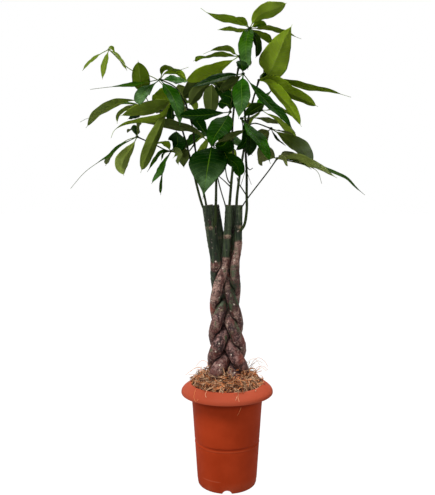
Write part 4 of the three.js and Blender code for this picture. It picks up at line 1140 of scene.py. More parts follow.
LEAVES["leaf_left_middle"] = dict(
    hub=(-173, 860, -10), grows=("shoot_left_outer", 0.88), stalk=[(-150, 852, -18)],
    leaflets=[
        blade(
            (-205, 968, -72), 43, 160, via=[(-188, 885, -30), (-197, 910, -54)],
            foot=0.34, form=(0.5, 0.9), tone=(0.3, 0, 0),
        ),
        blade(
            (-325, 812, -60), 33, 130,
            via=[(-210, 875, -18), (-242, 872, -28), (-270, 862, -38), (-299, 844, -50)],
            foot=0.2, form=(0.6, 1.3), tone=(1, 0.35, 0.3),
        ),
        blade(
            (-338, 826, 20), 22, 84, via=[(-246, 867, 0), (-299, 839, 12), (-322, 834, 16)],
            tail=0.3, form=(0.45, 1.4), tone=(0.5, 0.5, 0),
        ),
        blade(
            (-253, 822, -76), 20, 122, via=[(-210, 859, -40), (-237, 852, -60), (-251, 840, -70)],
            form=(0.6, 1.0), tone=(0.9, 0.4, 0),
        ),
        blade((-118, 903, -50), 46, 142, via=[(-148, 880, -36)], form=(0.5, 0.9), tone=(0.8, 0, 0)),
        blade((-229, 832, 50), 40, 52, via=[(-203, 848, 25)], form=(0.4, 1.1), tone=(0, 0, 0)),
        blade((-122, 846, 34), 44, 140, via=[(-148, 858, 16)], form=(0.5, 0.9), tone=(0.3, 0.3, 0)),
    ],
)
print("leaves so far:", len(LEAVES))

# %% Leaves on the left, lower down
LEAVES["leaf_left_front"] = dict(
    hub=(-124, 881, -70), grows=("shoot_left_outer", 0.83), stalk=[(-112, 850, -48)],
    leaflets=[
        blade(
            (-199, 709, -172), 32, 148, via=[(-143, 845, -98), (-159, 805, -128), (-183, 753, -152)],
            foot=0.16, form=(0.64, 0.9), tone=(0.45, 0.2, 0),
        ),
        blade(
            (-246, 840, -92), 38, 140, via=[(-154, 864, -76), (-200, 852, -84)],
            form=(0.42, 1.0), tone=(0.8, 0.25, 0),
        ),
        blade(
            (-267, 789, -120), 24, 122,
            via=[(-154, 835, -112), (-205, 827, -108), (-237, 820, -112), (-260, 806, -116)],
            tail=0.12, form=(0.45, 1.1), tone=(0.9, 0.1, 0),
        ),
        blade((-130, 812, -44), 34, 58, tone=(0.1, 0.1, 0)),
    ],
)
LEAVES["leaf_left_lower"] = dict(
    hub=(-207, 792, -56), grows=("shoot_left_outer", 0.6), stalk=[(-131, 759, -34), (-167, 774, -44)],
    leaflets=[
        blade(
            (-360, 673, -90), 20, 70,
            via=[(-242, 773, -66), (-269, 749, -74), (-297, 733, -80), (-329, 709, -86)],
            tail=0.42, form=(0.4, 1.4), tone=(0.5, 0.6, 0),
        ),
        blade(
            (-280, 725, -40), 20, 124, via=[(-233, 783, -54), (-262, 757, -48)],
            form=(0.84, 1.2), tone=(0.7, 0.5, 0.5),
        ),
        blade(
            (-237, 702, -90), 34, 148, via=[(-219, 768, -66), (-239, 738, -78), (-243, 720, -86)],
            form=(0.6, 1.1), tone=(0.95, 0.4, 0.2),
        ),
        blade((-197, 822, 30), 26, 120, tone=(0.1, 0.3, 0)),
        blade((-225, 807, 10), 28, 50, tone=(0.1, 0.3, 0)),
    ],
)
LEAVES["leaf_left_inner"] = dict(
    hub=(-129, 759, -112), grows=("shoot_left_inner", 0.62), stalk=[(-96, 752, -60)],
    leaflets=[
        blade((-184, 711, -122), 18, 60, via=[(-149, 757, -115)], form=(0.35, 1.4), tone=(0.3, 0.4, 0)),
        blade(
            (-174, 684, -150), 25, 58, via=[(-141, 740, -124), (-152, 713, -138)],
            form=(0.55, 1.2), tone=(0.6, 0.3, 0.4),
        ),
        blade(
            (-153, 658, -176), 9, 50, via=[(-145, 725, -136), (-151, 690, -160)],
            form=(0.86, 1.2), tone=(0.2, 0.3, 0),
        ),
        blade((-152, 737, -92), 15, 70, via=[(-143, 755, -104)], tone=(0, 0.2, 0)),
        blade((-159, 780, -150), 26, 120, tone=(0.7, 0, 0)),
        blade((-117, 806, -140), 44, 30, via=[(-114, 776, -124)], form=(0.5, 1.1), tone=(0, 0, 0.25)),
        blade((-112, 727, -176), 26, 128, via=[(-115, 753, -140)], form=(0.42, 1.5), tone=(0.1, 0.2, 0)),
        blade((-99, 720, -128), 30, 142, via=[(-106, 757, -116)], form=(0.45, 1.4), tone=(0.1, 0.15, 0)),
    ],
)
print("leaves so far:", len(LEAVES))

# %% Leaves in the middle
LEAVES["leaf_front_large"] = dict(
    hub=(-35, 774, -150), grows=("shoot_front", 0.74), stalk=[(-34, 760, -110)],
    leaflets=[
        blade((-56, 648, -200), 79, 14, via=[(-44, 725, -190)], foot=0.04, form=(0.4, 2.5), tone=(0, 0, 1)),
        blade(
            (27, 697, -176), 34, 36, via=[(-7, 749, -164), (22, 726, -172)],
            form=(0.7, 1.2), tone=(0.35, 0, 0),
        ),
        blade((6, 790, -136), 46, 12, via=[(-12, 771, -140)], form=(0.6, 1.0), tone=(0.25, 0, 0)),
        blade(
            (-198, 825, -64), 38, 122, via=[(-74, 804, -126), (-136, 818, -82)],
            form=(0.55, 1.0), tone=(0.05, 0.15, 0),
        ),
        blade((40, 808, -172), 30, 118, via=[(4, 788, -160)], form=(0.6, 1.2), tone=(0.05, 0.2, 0)),
    ],
)
LEAVES["leaf_front_upper"] = dict(
    hub=(7, 849, -120), grows=("shoot_front", 0.985), stalk=[(0, 836, -92)],
    leaflets=[
        blade(
            (-37, 764, -222), 46, 24, via=[(-9, 821, -164), (-30, 789, -200)],
            tail=0.06, form=(0.5, 1.3), tone=(0.3, 0, 0),
        ),
        blade(
            (-113, 840, -140), 34, 44, via=[(-25, 845, -126), (-62, 841, -133)],
            form=(0.6, 0.9), tone=(0, 0, 0),
        ),
        blade((-16, 890, -70), 24, 30, via=[(9, 881, -92)], form=(0.6, 0.8), tone=(0, 0, 0)),
        blade((-20, 873, -98), 30, 24, via=[(4, 864, -110)], form=(0.6, 0.8), tone=(0, 0, 0)),
        blade((26, 912, -50), 34, 100, tone=(0.1, 0.5, 0)),
    ],
)
print("leaves so far:", len(LEAVES))

# %% Leaves at the top
LEAVES["leaf_upper_left"] = dict(
    hub=(27, 977, -40), grows=("shoot_centre", 0.8), stalk=[(30, 966, -10)],
    leaflets=[
        blade(
            (-55, 982, -20), 29, 118, via=[(7, 990, -34), (-21, 993, -28), (-42, 988, -24)],
            tail=0.2, form=(0.35, 1.3), tone=(0.7, 0.15, 0),
        ),
        blade(
            (-62, 971, -66), 25, 116, via=[(-12, 979, -52), (-46, 975, -62)],
            form=(0.45, 1.2), tone=(0.65, 0.1, 0),
        ),
        blade(
            (-78, 966, -56), 17, 124, via=[(-21, 977, -46), (-60, 973, -52)],
            foot=0.2, form=(0.92, 1.0), tone=(0.8, 0, 0),
        ),
        blade(
            (-99, 920, -104), 40, 142, via=[(2, 961, -64), (-30, 943, -80), (-62, 931, -94)],
            foot=0.12, form=(0.62, 1.15), tone=(1, 0, 0),
        ),
        blade((54, 955, 66), 26, 120, tone=(0.3, 0.3, 0)),
    ],
)
LEAVES["leaf_top"] = dict(
    hub=(52, 1042, -4), grows=("shoot_centre", 1), stalk=[],
    leaflets=[
        blade(
            (138, 1100, -20), 40, 152, via=[(64, 1062, -6), (83, 1077, -10), (111, 1086, -15)],
            form=(0.52, 0.9), tone=(1, 0.1, 0.15),
        ),
        blade(
            (-61, 1088, -18), 31, 126, via=[(25, 1055, -6), (-12, 1063, -10), (-42, 1075, -14)],
            tail=0.12, form=(0.36, 1.3), tone=(1, 0, 0.2),
        ),
        blade((18, 1067, -40), 17, 150, via=[(37, 1057, -20)], tone=(1, 0, 0)),
        blade(
            (-22, 1038, 40), 23, 118, via=[(30, 1036, 14), (2, 1038, 28)],
            form=(0.45, 1.0), tone=(0.8, 0.1, 0),
        ),
        blade(
            (48, 945, -100), 34, 20, via=[(44, 1010, -42), (44, 975, -78)],
            foot=0.02, form=(0.42, 0.35), tone=(0.75, 0.5, 0.6),
        ),
        blade(
            (66, 973, -38), 25, 42, via=[(66, 1019, -18), (70, 996, -28)],
            form=(0.5, 1.0), tone=(0.05, 0.35, 0),
        ),
        blade(
            (171, 1017, 34), 30, 114, via=[(87, 1040, 10), (129, 1032, 22)],
            tail=0.1, form=(0.42, 1.5), tone=(0.6, 0.1, 0),
        ),
        blade((92, 1043, 30), 20, 150, via=[(72, 1051, 12)], form=(0.6, 1.0), tone=(0.75, 0, 0)),
        blade((104, 1004, 62), 30, 130, via=[(80, 1024, 30)], form=(0.55, 1.1), tone=(0.6, 0, 0)),
    ],
)
print("leaves so far:", len(LEAVES))

# %% Leaves on the right
LEAVES["leaf_upper_right"] = dict(
    hub=(73, 922, 16), grows=("shoot_right_inner", 0.985), stalk=[],
    leaflets=[
        blade(
            (150, 1050, 0), 71, 164, via=[(94, 934, 15), (111, 968, 16), (131, 1014, 9)],
            foot=0.14, form=(0.3, 1.0), tone=(0.85, 0.1, 0),
        ),
        blade(
            (285, 883, -24), 31, 118,
            via=[(94, 928, 12), (131, 918, 4), (177, 906, -6), (218, 899, -14), (250, 893, -20)],
            tail=0.12, foot=0.12, form=(0.5, 0.95), tone=(0.5, 0, 0),
        ),
        blade(
            (209, 861, -50), 44, 134, via=[(99, 920, 0), (140, 895, -20), (177, 878, -36)],
            form=(0.42, 0.6), tone=(0.5, 0, 0),
        ),
        blade(
            (171, 815, -64), 37, 134, via=[(94, 916, -4), (122, 886, -24), (149, 855, -46)],
            form=(0.45, 0.65), tone=(0.6, 0, 0),
        ),
        blade((112, 908, 104), 36, 60, tone=(0.3, 0.3, 0)),
        blade((117, 955, 116), 38, 100, tone=(0.4, 0.2, 0)),
    ],
)
LEAVES["leaf_front_top"] = dict(
    hub=(37, 937, -134), grows=("shoot_right_outer", 0.985), stalk=[(36, 922, -118)],
    leaflets=[
        blade(
            (-85, 905, -214), 22, 42, via=[(2, 932, -154), (-44, 918, -186)],
            form=(0.42, 1.3), tone=(0, 0, 0.1),
        ),
        blade(
            (26, 833, -230), 40, 22, via=[(33, 904, -168), (34, 870, -204)],
            form=(0.46, 1.25), tone=(0.4, 0, 0.6),
        ),
        blade(
            (157, 801, -160), 31, 50, via=[(64, 902, -140), (98, 866, -148), (131, 834, -155)],
            tail=0.08, foot=0.12, form=(0.5, 1.3), tone=(0.25, 0, 0.05),
        ),
        blade((-21, 899, -168), 30, 128, via=[(16, 918, -148)], form=(0.55, 1.0), tone=(0.02, 0.15, 0)),
        blade((30, 968, -124), 30, 36, form=(0.55, 0.9), tone=(0.1, 0, 0.2)),
    ],
)
print("leaves so far:", len(LEAVES))

# %% Leaves on the right, lower down
LEAVES["leaf_front_right"] = dict(
    hub=(33, 834, -112), grows=("shoot_right_outer", 0.76), stalk=[],
    leaflets=[
        blade(
            (100, 730, -200), 38, 50, via=[(57, 803, -146), (83, 767, -178)],
            tail=0.05, form=(0.5, 1.25), tone=(0.5, 0, 0),
        ),
        blade((48, 745, -118), 31, 40, via=[(54, 787, -114)], form=(0.6, 1.05), tone=(0, 0, 0.2)),
        blade((19, 760, -90), 20, 30, via=[(43, 781, -98)], form=(0.6, 1.2), tone=(0, 0, 0)),
        blade((85, 868, -100), 31, 40, via=[(57, 851, -106)], form=(0.58, 1.1), tone=(0.15, 0.35, 0)),
        blade(
            (119, 821, -84), 22, 122, via=[(66, 835, -104), (89, 830, -96)],
            foot=0.25, form=(0.7, 1.2), tone=(0.2, 0.3, 0),
        ),
    ],
)
LEAVES["leaf_right_middle"] = dict(
    hub=(101, 811, -70), grows=("shoot_right_outer", 0.73), stalk=[(62, 823, -66)],
    leaflets=[
        blade(
            (200, 733, -36), 41, 144, via=[(131, 792, -56), (168, 766, -46)],
            form=(0.6, 1.1), tone=(0.3, 0.1, 0.9),
        ),
        blade((66, 776, -60), 38, 146, via=[(86, 797, -66)], form=(0.52, 0.95), tone=(0.2, 0.3, 0)),
        blade((135, 771, -20), 15, 70, via=[(112, 789, -48)], tone=(0.3, 0.6, 0)),
        blade((179, 757, 30), 30, 98, tone=(0.3, 0.5, 0)),
    ],
)
LEAVES["leaf_right_lower"] = dict(
    hub=(115, 742, -84), grows=("trunk_right",), stalk=[(30, 624, -14), (44, 646, -22), (98, 717, -66)],
    leaflets=[
        blade((69, 740, -152), 40, 158, via=[(90, 749, -120)], form=(0.62, 0.4), tone=(0.3, 0.5, 0)),
        blade(
            (253, 697, -136), 30, 124, via=[(161, 742, -104), (209, 722, -122)],
            form=(0.42, 1.3), tone=(0.9, 0.5, 0.4),
        ),
        blade(
            (317, 658, -96), 18, 62, via=[(168, 736, -86), (232, 715, -90), (276, 694, -93), (296, 675, -95)],
            form=(0.42, 0.85), tone=(0.5, 0.7, 0.3),
        ),
        blade((218, 684, -104), 14, 80, via=[(175, 728, -92), (207, 713, -99)], tail=0.3, tone=(0.5, 0.6, 0)),
        blade(
            (194, 717, -60), 32, 124, via=[(131, 751, -78), (165, 737, -70)],
            form=(0.36, 1.2), tone=(0.7, 0.8, 0.2),
        ),
        blade((140, 725, -130), 24, 120, tone=(0.7, 0.7, 0)),
    ],
)
print("leaves so far:", len(LEAVES))

# %% Leaves behind the crown
LEAVES["leaf_back_right"] = dict(
    hub=(80, 853, 150), grows=("shoot_right_inner", 0.7), stalk=[],
    leaflets=[
        blade((158, 835, 185), 40, 106),
        blade((168, 766, 190), 42, 112),
        blade((92, 862, 282), 44, 100),
        blade((30, 850, 262), 44, 100),
        blade((38, 792, 225), 42, 110),
        blade((110, 905, 215), 40, 84),
    ],
)
LEAVES["leaf_back_centre"] = dict(
    hub=(-35, 916, 128), grows=("shoot_centre", 0.62), stalk=[],
    leaflets=[
        blade((-37, 844, 96), 40, 168, via=[(-36, 886, 108)], foot=0.05, form=(0.5, 0.4), tone=(0, 0.15, 0)),
        blade((-104, 883, 98), 48, 150, via=[(-66, 908, 110)], foot=0.05, form=(0.5, 0.7), tone=(0, 0.15, 0)),
        blade((28, 911, 84), 42, 150, via=[(-4, 918, 104)], foot=0.05, form=(0.5, 0.7), tone=(0, 0.15, 0)),
        blade((12, 866, 122), 34, 28, via=[(-12, 896, 126)], form=(0.55, 0.9), tone=(0, 0.3, 0)),
        blade((-88, 864, 78), 36, 152, via=[(-62, 900, 104)], foot=0.05, form=(0.5, 0.8), tone=(0.1, 0.2, 0)),
        blade((-72, 881, 230), 44, 110),
        blade((11, 876, 226), 44, 112),
        blade((-21, 932, 252), 40, 96),
    ],
)
LEAVES["leaf_back_left"] = dict(
    hub=(-100, 866, 150), grows=("shoot_left_inner", 0.86), stalk=[],
    leaflets=[
        blade((-46, 795, 112), 36, 34, via=[(-76, 836, 136)], form=(0.5, 1.0), tone=(0, 0, 0)),
        blade((-156, 838, 118), 44, 140, form=(0.5, 0.9), tone=(0.6, 0.2, 0)),
        blade((-112, 914, 132), 36, 150, form=(0.5, 0.9), tone=(0.2, 0.2, 0)),
        blade((-106, 834, 62), 40, 150, via=[(-104, 870, 112)], form=(0.5, 0.8), tone=(0.3, 0.2, 0)),
        blade((-74, 852, 270), 44, 104),
        blade((-124, 880, 284), 44, 96),
        blade((-158, 852, 246), 40, 110),
    ],
)
print("leaves so far:", len(LEAVES))

# %% [markdown]
# ## A leaf on the far side
# This leaf hides behind the crown, so it follows the habit of the plant and not a picture: six leaflets
# spread evenly round the hub and droop, the ones at the back a little more. It uses the part's own rule.

# %% Leaf at the back
BACK_LEAF = dict(hub=(-34, 800, 96), grows=("trunk_centre",), stalk=[(-1, 624, 0), (-21, 695, 26)])
WHORL = dict(
    leaflets=6, first=0.9, length=116, wide=0.35, spread=0.86, droop=0.5, more_droop=0.14, turns=(62, 118),
)


def layout_place(point):
    """The layout place of a real point: seen() backwards."""
    spread = 1 + point[1] / STANDPOINT_AWAY
    return (point[0] / spread, STANDPOINT_HEIGHT + (point[2] - STANDPOINT_HEIGHT) / spread, point[1])


def whorl(hub):
    """Leaflets all round a hub. WHORL's wide and spread are shares of the length, and first is an angle."""
    leaflets = []
    for k in range(WHORL["leaflets"]):
        angle = WHORL["first"] + 2 * math.pi * k / WHORL["leaflets"]
        out, away = math.cos(angle) * WHORL["spread"], math.sin(angle)
        drop = WHORL["droop"] + WHORL["more_droop"] * away
        tip = seen(hub) + WHORL["length"] * np.array([out, away * WHORL["spread"], -drop])
        leaflets.append(blade(layout_place(tip), WHORL["length"] * WHORL["wide"], WHORL["turns"][away > 0]))
    return leaflets


LEAVES["leaf_back_low"] = dict(BACK_LEAF, leaflets=whorl(BACK_LEAF["hub"]))
print("leaves:", len(LEAVES), "leaflets:", sum(len(leaf["leaflets"]) for leaf in LEAVES.values()))

# %% Shoots
SHOOT_POINTS, SHOOT_SIDES, TWIG_POINTS = 90, 12, 12
JOINT_SWELLING, JOINT_WIDTH = 0.8, 0.012   # mm, and a share of the shoot's length
for node, own in SHOOTS.items():
    route = [seen(place) for place in own["route"]]
    shares = np.linspace(0, 1, SHOOT_POINTS)
    girths = own["radii"][0] + (own["radii"][1] - own["radii"][0]) * shares
    for leaf in LEAVES.values():
        if leaf["grows"][0] == node:
            girths += JOINT_SWELLING * bell(shares, leaf["grows"][1], JOINT_WIDTH)
    girths[-1] *= 0.6   # a blunt end
    lines = [(walk(route, shares)[0], girths)]
    for start, places, radii in TWIGS.get(node, []):
        twig = [walk(route, [start])[0][0], *(seen(place) for place in places)]
        lines.append((walk(twig, np.linspace(0, 1, TWIG_POINTS))[0], np.linspace(*radii, TWIG_POINTS)))
    shoot = stem_piece(
        node + "_stem", lines, SHOOT_SIDES, stem_green, lumps=(0.0007, 90.0), rings=(0.0002, 90.0), seed=1.5,
    )
    finish_piece(shoot, "green_stem", node)

# %% [markdown]
# ## Leaf finishes
# The upper face is deep green with a soft gloss, a pale midrib, and side veins that run forward to the
# margin. The underside is duller and lighter, with the veins raised. A leaf is thin, so some light comes
# through: a Translucent shader, mixed in, makes leaves glow that are lit from behind. The veins are drawn
# from the leaflet's own map: across it from margin to margin, and along it from stalk to tip. Painted
# shade darkens the hollows between the veins. Each leaflet's tone says how fresh, how brown and how much
# painted sheen it has; freshness is partly a painted glow, and brown partly painted shade.

# %% Recipe for leaf finishes
def leaf_finish(name, **own):
    look = Finish(name)
    across, up, _ = look.axes(add(look.tree, "ShaderNodeUVMap", uv_map="leaf_map"))
    off_rib = look.maths("ABSOLUTE", look.maths("MULTIPLY_ADD", across, 2.0, -1.0))
    forward = look.times(look.maths("POWER", off_rib, 1.25), 0.13)
    phase = look.times(look.maths("SUBTRACT", up, forward), 13.0)
    between = look.maths("ABSOLUTE", look.maths("SUBTRACT", look.maths("FRACT", phase), 0.5))
    side_vein = look.times(look.rise(between, 0.40, 0.5), look.rise(off_rib, 1.0, 0.75))
    midrib = look.rise(off_rib, 0.045, 0.008)
    cloud, mottle = look.noise(26, 3), look.noise(320, 3, 0.6)
    freshness, brownness_and_shade, painted_sheen_share = look.axes(look.number("leaf_tone", "Vector"))
    # Freshness: partly real, partly a painted glow of light coming through the blade.
    fresh = look.maths("ADD", freshness, look.maths("MULTIPLY_ADD", cloud, 0.5, -0.25))
    # Brown: partly real browning, partly painted shade inside the crown.
    brown = look.times(brownness_and_shade, look.rise(cloud, 0.2, 0.6, 1.0, base=0.7))
    # Painted sheen: a grey-green reflection in patches, growing towards the tip.
    sheen_patches = look.rise(look.noise(48, 2), 0.3, 0.7, 1.0, base=0.4)
    grey = look.times(painted_sheen_share, sheen_patches, look.rise(up, 0.35, 0.8))
    patch, rough, relief = own["patch_share"], own["roughness"], own["relief"]
    colour = look.layered(
        own["deep"],
        (look.rise(fresh, 0.0, 1.0), own["fresh"]),
        (brown, own["dull"]),
        (grey, own["bloom"]),
        (look.rise(mottle, 0.36, 0.64, patch * 0.6), own["deep"]),
        (look.rise(look.noise(40, 2), 0.34, 0.66, patch), own["deep"]),
        # Painted shade in the hollows between the side veins.
        (look.rise(between, 0.30, 0.05, patch * 0.35), own["deep"]),
        (look.times(side_vein, own["vein_share"]), own["vein"]),
        (look.times(midrib, own["rib_share"]), own["vein"]),
    )
    puffed = look.maths("SUBTRACT", look.times(mottle, 0.15), look.times(side_vein, relief))
    puffed = look.maths("SUBTRACT", puffed, look.times(midrib, relief * 1.3))
    sheen = look.rise(mottle, 0.3, 0.7, rough + 0.08, base=rough - 0.05)
    finish = look.made(colour, sheen, relief=(puffed, own["bump"], 0.0012), specular=own["gloss"])
    put(look.tree, look.shader.inputs["Specular Tint"], (0.65, 1.0, 0.35))
    lit = look.layered(own["through"], (look.times(side_vein, 0.4), own["deep"]), (brown, own["dull"]))
    glow = add(look.tree, "ShaderNodeBsdfTranslucent", {"Color": lit})
    both = add(look.tree, "ShaderNodeMixShader", {0: own["through_share"], 1: look.shader, 2: glow})
    put(look.tree, look.tree.nodes["Material Output"].inputs["Surface"], both)
    return finish


def stalk_finish(name, dark, light, specular=None):
    look = Finish(name)
    colour = look.layered(dark, (look.rise(look.noise(120, 3), 0.35, 0.65), light))
    return look.made(colour, 0.5, specular=specular)


# %% Leaf finishes
leaf_upper = leaf_finish(
    "leaf_upper_face", deep=(0.0015, 0.017, 0.0004), fresh=(0.050, 0.240, 0.002), vein=(0.14, 0.30, 0.014),
    dull=(0.030, 0.040, 0.004), bloom=(0.150, 0.280, 0.110), through=(0.22, 0.48, 0.003), roughness=0.30,
    relief=0.9, bump=0.7, gloss=0.015, vein_share=0.1, rib_share=0.5, through_share=0.01, patch_share=0.5,
)
leaf_under = leaf_finish(
    "leaf_underside", deep=(0.045, 0.090, 0.003), fresh=(0.590, 0.850, 0.040), vein=(0.66, 0.80, 0.22),
    dull=(0.520, 0.520, 0.270), bloom=(0.420, 0.500, 0.360), through=(0.80, 1.0, 0.07), roughness=0.6,
    relief=-0.8, bump=0.6, gloss=0.02, vein_share=0.3, rib_share=0.4, through_share=0.45, patch_share=0.28,
)
young_face = leaf_finish(
    "young_leaf_face", deep=(0.11, 0.18, 0.015), fresh=(0.62, 0.68, 0.06), vein=(0.60, 0.66, 0.18),
    dull=(0.20, 0.22, 0.05), bloom=(0.3, 0.4, 0.2), through=(0.72, 0.92, 0.10), roughness=0.45,
    relief=0.3, bump=0.2, gloss=0.08, vein_share=0.2, rib_share=0.6, through_share=0.4, patch_share=0.12,
)
leaf_stalk = stalk_finish("leaf_stalk", (0.010, 0.018, 0.004), (0.042, 0.062, 0.012), specular=0.12)
young_stalk = stalk_finish("young_leaf_stalk", (0.085, 0.120, 0.022), (0.20, 0.27, 0.05))

# %% [markdown]
# ## Leaflet blades
# A blade is a thin closed shell: rings of points that run over the upper face and back under it, set along
# the midrib's curve. Each ring has the leaflet's width there, folds up from the midrib, and waves along
# the margin. The midrib is a ridge below and a groove above. Near the hub the ring closes into a round
# stalklet. This is mesh code, because every leaflet has its own curve, width and turn.

# %% Blade line
LEAF = dict(   # mm, or shares of the leaflet's own width or length
    thickness=0.5, stalk_width=2.4, stalk_start=3.0, stalk_slims=0.65, fold=0.2, arch=0.1, pointed=0.3,
    drip_tip=0.035, wave=0.05, wave_rates=(1.7, 2.5), rib_groove=0.28, rib_ridge=1.15, rib_fades=0.8,
)


def blade_width(share, leaflet, tail):
    """The blade's width at a share of its length, 1 at its widest."""
    inner = np.clip((share - leaflet["foot"]) / (1 - leaflet["foot"] - tail), 0, 1)
    widest, slender = leaflet["form"]
    fall = slender * (1 - widest) + LEAF["pointed"]
    rise = fall * widest / (1 - widest)
    return (inner / widest) ** rise * ((1 - inner) / (1 - widest)) ** fall


def unit_rows(vectors):
    return vectors / np.linalg.norm(vectors, axis=1)[:, None]


def blade_frame(hub, leaflet, shares):
    """Centres, sideways and upward vectors along the midrib, by the part's own rule."""
    end = seen(leaflet["tip"])
    between = [seen(place) for place in leaflet["via"]]
    if not between:
        between = [(hub + end) / 2]
        between[0][2] += LEAF["arch"] * np.linalg.norm(end - hub)
    first = between[0] - hub
    start = hub + first * (LEAF["stalk_start"] / np.linalg.norm(first))
    centres, ways = walk([start, *between, end], shares)
    eye = np.array([0, -STANDPOINT_AWAY, STANDPOINT_HEIGHT])
    upward = math.copysign(1, np.cross(end - hub, eye - hub)[2])
    facing = unit_rows(eye - centres)
    facing = unit_rows(facing - ways * np.sum(facing * ways, axis=1)[:, None])
    angle = math.radians(leaflet["turn"])
    normal = facing * math.cos(angle) + np.cross(ways, facing) * upward * math.sin(angle)
    return centres, np.cross(normal, ways), normal


# %% Blade mesh
BLADE_ROWS = 30
COLUMNS = np.array([-1, -0.88, -0.7, -0.5, -0.3, -0.13, 0, 0.13, 0.3, 0.5, 0.7, 0.88, 1.0])
SECTION = np.concatenate([COLUMNS, COLUMNS[-2:0:-1]])
ABOVE = np.array([1.0] * len(COLUMNS) + [-1.0] * (len(COLUMNS) - 2))


def blade_points(hub, leaflet, draw):
    shares = np.linspace(0, 1, BLADE_ROWS)
    centres, across, normal = blade_frame(hub, leaflet, shares)
    width = blade_width(shares, leaflet, max(leaflet["tail"], LEAF["drip_tip"]))
    stalk = LEAF["stalk_width"] / 2 * (1 - LEAF["stalk_slims"] * shares)
    half = np.sqrt((leaflet["wide"] / 2 * width) ** 2 + stalk**2)[:, None]
    u, row = SECTION[None, :], shares[:, None]
    side = np.abs(u)
    phase, other = draw.uniform(0, 2 * math.pi, 2)
    rate = draw.uniform(*LEAF["wave_rates"])
    ripple = np.sin(2 * math.pi * rate * row + np.where(u > 0, phase, other))
    ripple = ripple + 0.35 * np.sin(2 * math.pi * rate * 2.7 * row + np.where(u > 0, other, phase))
    lift = LEAF["fold"] * half * side * (1.4 - 0.4 * side)
    lift = lift + LEAF["wave"] * leaflet["wide"] * width[:, None] * side**2 * ripple
    rib = np.exp(-((u * half / (1.0 - 0.5 * row)) ** 2))
    skin = LEAF["thickness"] / 2 * (1 - side**4)
    over = skin - LEAF["rib_groove"] * rib * (1 - row)
    under = -skin - (LEAF["rib_ridge"] - LEAF["rib_fades"] * row) * rib * (1 - side**4)
    round_stalk = ABOVE * np.sqrt(np.clip(1 - u**2, 0, 1)) * 0.95
    blade_zone = step_between(row, leaflet["foot"] - 0.04, leaflet["foot"] + 0.05)
    lift = (lift + np.where(ABOVE > 0, over, under)) * blade_zone + round_stalk * (1 - blade_zone)
    out, raised = (u * half)[..., None], lift[..., None]
    return centres[:, None, :] + across[:, None, :] * out + normal[:, None, :] * raised


print("points a leaflet:", BLADE_ROWS * len(SECTION))

# %% [markdown]
# ## Building a leaf
# One leaf is one piece: the stalk, a small swollen hub, and the blades. A collector gathers their points
# and faces and remembers which finish each face takes. The upper face has the first slot, the underside
# the second, and stalk and hub the third.

# %% Gathering a leaf
UPPER, UNDER, STALK = 0, 1, 2
STALK_TONE, STALK_SPOT = (0.3, 0.0, 0.0), (0.5, 0.0)   # the leaf tone and the map place of stalk and hub


class Gatherer:
    """Points, faces, map places, tones and face finishes of one leaf."""

    def __init__(self):
        self.points, self.faces, self.finishes, self.spots, self.tones = [], [], [], [], []

    def take(self, points, faces, finishes=None, spots=None, tone=STALK_TONE):
        start = len(self.points)
        self.points += [tuple(p) for p in points]
        self.faces += [tuple(start + i for i in face) for face in faces]
        self.finishes += [STALK] * len(faces) if finishes is None else finishes
        self.spots += [STALK_SPOT] * len(points) if spots is None else [tuple(s) for s in spots]
        self.tones += [tone] * len(points)


def rings_to_faces(rows, ring, flip=False):
    """Quads between rings of points, and a flat face over each end."""
    faces = []
    for i in range(rows - 1):
        for k in range(ring):
            a, b = i * ring + k, i * ring + (k + 1) % ring
            faces.append((a, a + ring, b + ring, b) if flip else (a, b, b + ring, a + ring))
    first, last = tuple(range(ring)), tuple((rows - 1) * ring + k for k in range(ring))
    return faces + ([first, last[::-1]] if flip else [first[::-1], last])


# %% Blade, stalk and hub
STALK_SIDES, STALK_STEP = 10, 5.0   # points round a stalk, and mm from ring to ring
STALK_ENDS = (0.45, 0.05)   # how much thicker a stalk is at its ends, and over what share of its length
STALK_RADII, HUB_RADII = (1.5, 1.125), (3.8, 2.9)   # mm, for a grown leaf and for a young one
HUB_HEIGHT = 0.85   # a hub is a little flatter than a ball


def add_blade(leaf, hub, leaflet, draw):
    ring, top = len(SECTION), len(COLUMNS) - 1
    finishes = [UPPER if k < top else UNDER for _ in range(BLADE_ROWS - 1) for k in range(ring)] + [UNDER] * 2
    rows = np.repeat(np.linspace(0, 1, BLADE_ROWS), ring)
    spots = np.column_stack([np.tile((SECTION + 1) / 2, BLADE_ROWS), rows])
    points = blade_points(hub, leaflet, draw).reshape(-1, 3)
    leaf.take(points, rings_to_faces(BLADE_ROWS, ring, flip=True), finishes, spots, leaflet["tone"])


def add_stalk(leaf, places, radius):
    count = max(8, int(path_length(places) / STALK_STEP))
    thicker, reach = STALK_ENDS
    points, ways = walk(places, np.linspace(0, 1, count))
    side = np.cross(ways[0], (0.3, -0.9, 0.2))
    rings = []
    for i, (centre, way) in enumerate(zip(points, ways)):
        side = side - way * np.dot(side, way)
        side /= np.linalg.norm(side)
        up = np.cross(way, side)
        near_end = min(i, count - 1 - i) / (count - 1)
        girth = radius * (1 + thicker * bell(near_end, 0, reach))
        for k in range(STALK_SIDES):
            angle = 2 * math.pi * k / STALK_SIDES
            rings.append(centre + girth * (side * math.cos(angle) + up * math.sin(angle)))
    leaf.take(rings, rings_to_faces(count, STALK_SIDES))


def add_hub(leaf, centre, radius):
    ball = bmesh.new()
    bmesh.ops.create_icosphere(ball, subdivisions=2, radius=radius)
    points = [centre + np.array(v.co) * (1, 1, HUB_HEIGHT) for v in ball.verts]
    faces = [tuple(v.index for v in face.verts) for face in ball.faces]
    ball.free()
    leaf.take(points, faces)


def stalk_places(own):
    """A stalk on a shoot starts at the shoot's middle, and one on a trunk inside the trunk."""
    places = [seen(place) for place in [*own["stalk"], own["hub"]]]
    carrier, *share = own["grows"]
    if carrier in SHOOTS:
        route = [seen(place) for place in SHOOTS[carrier]["route"]]
        places.insert(0, walk(route, share)[0][0])
    return places


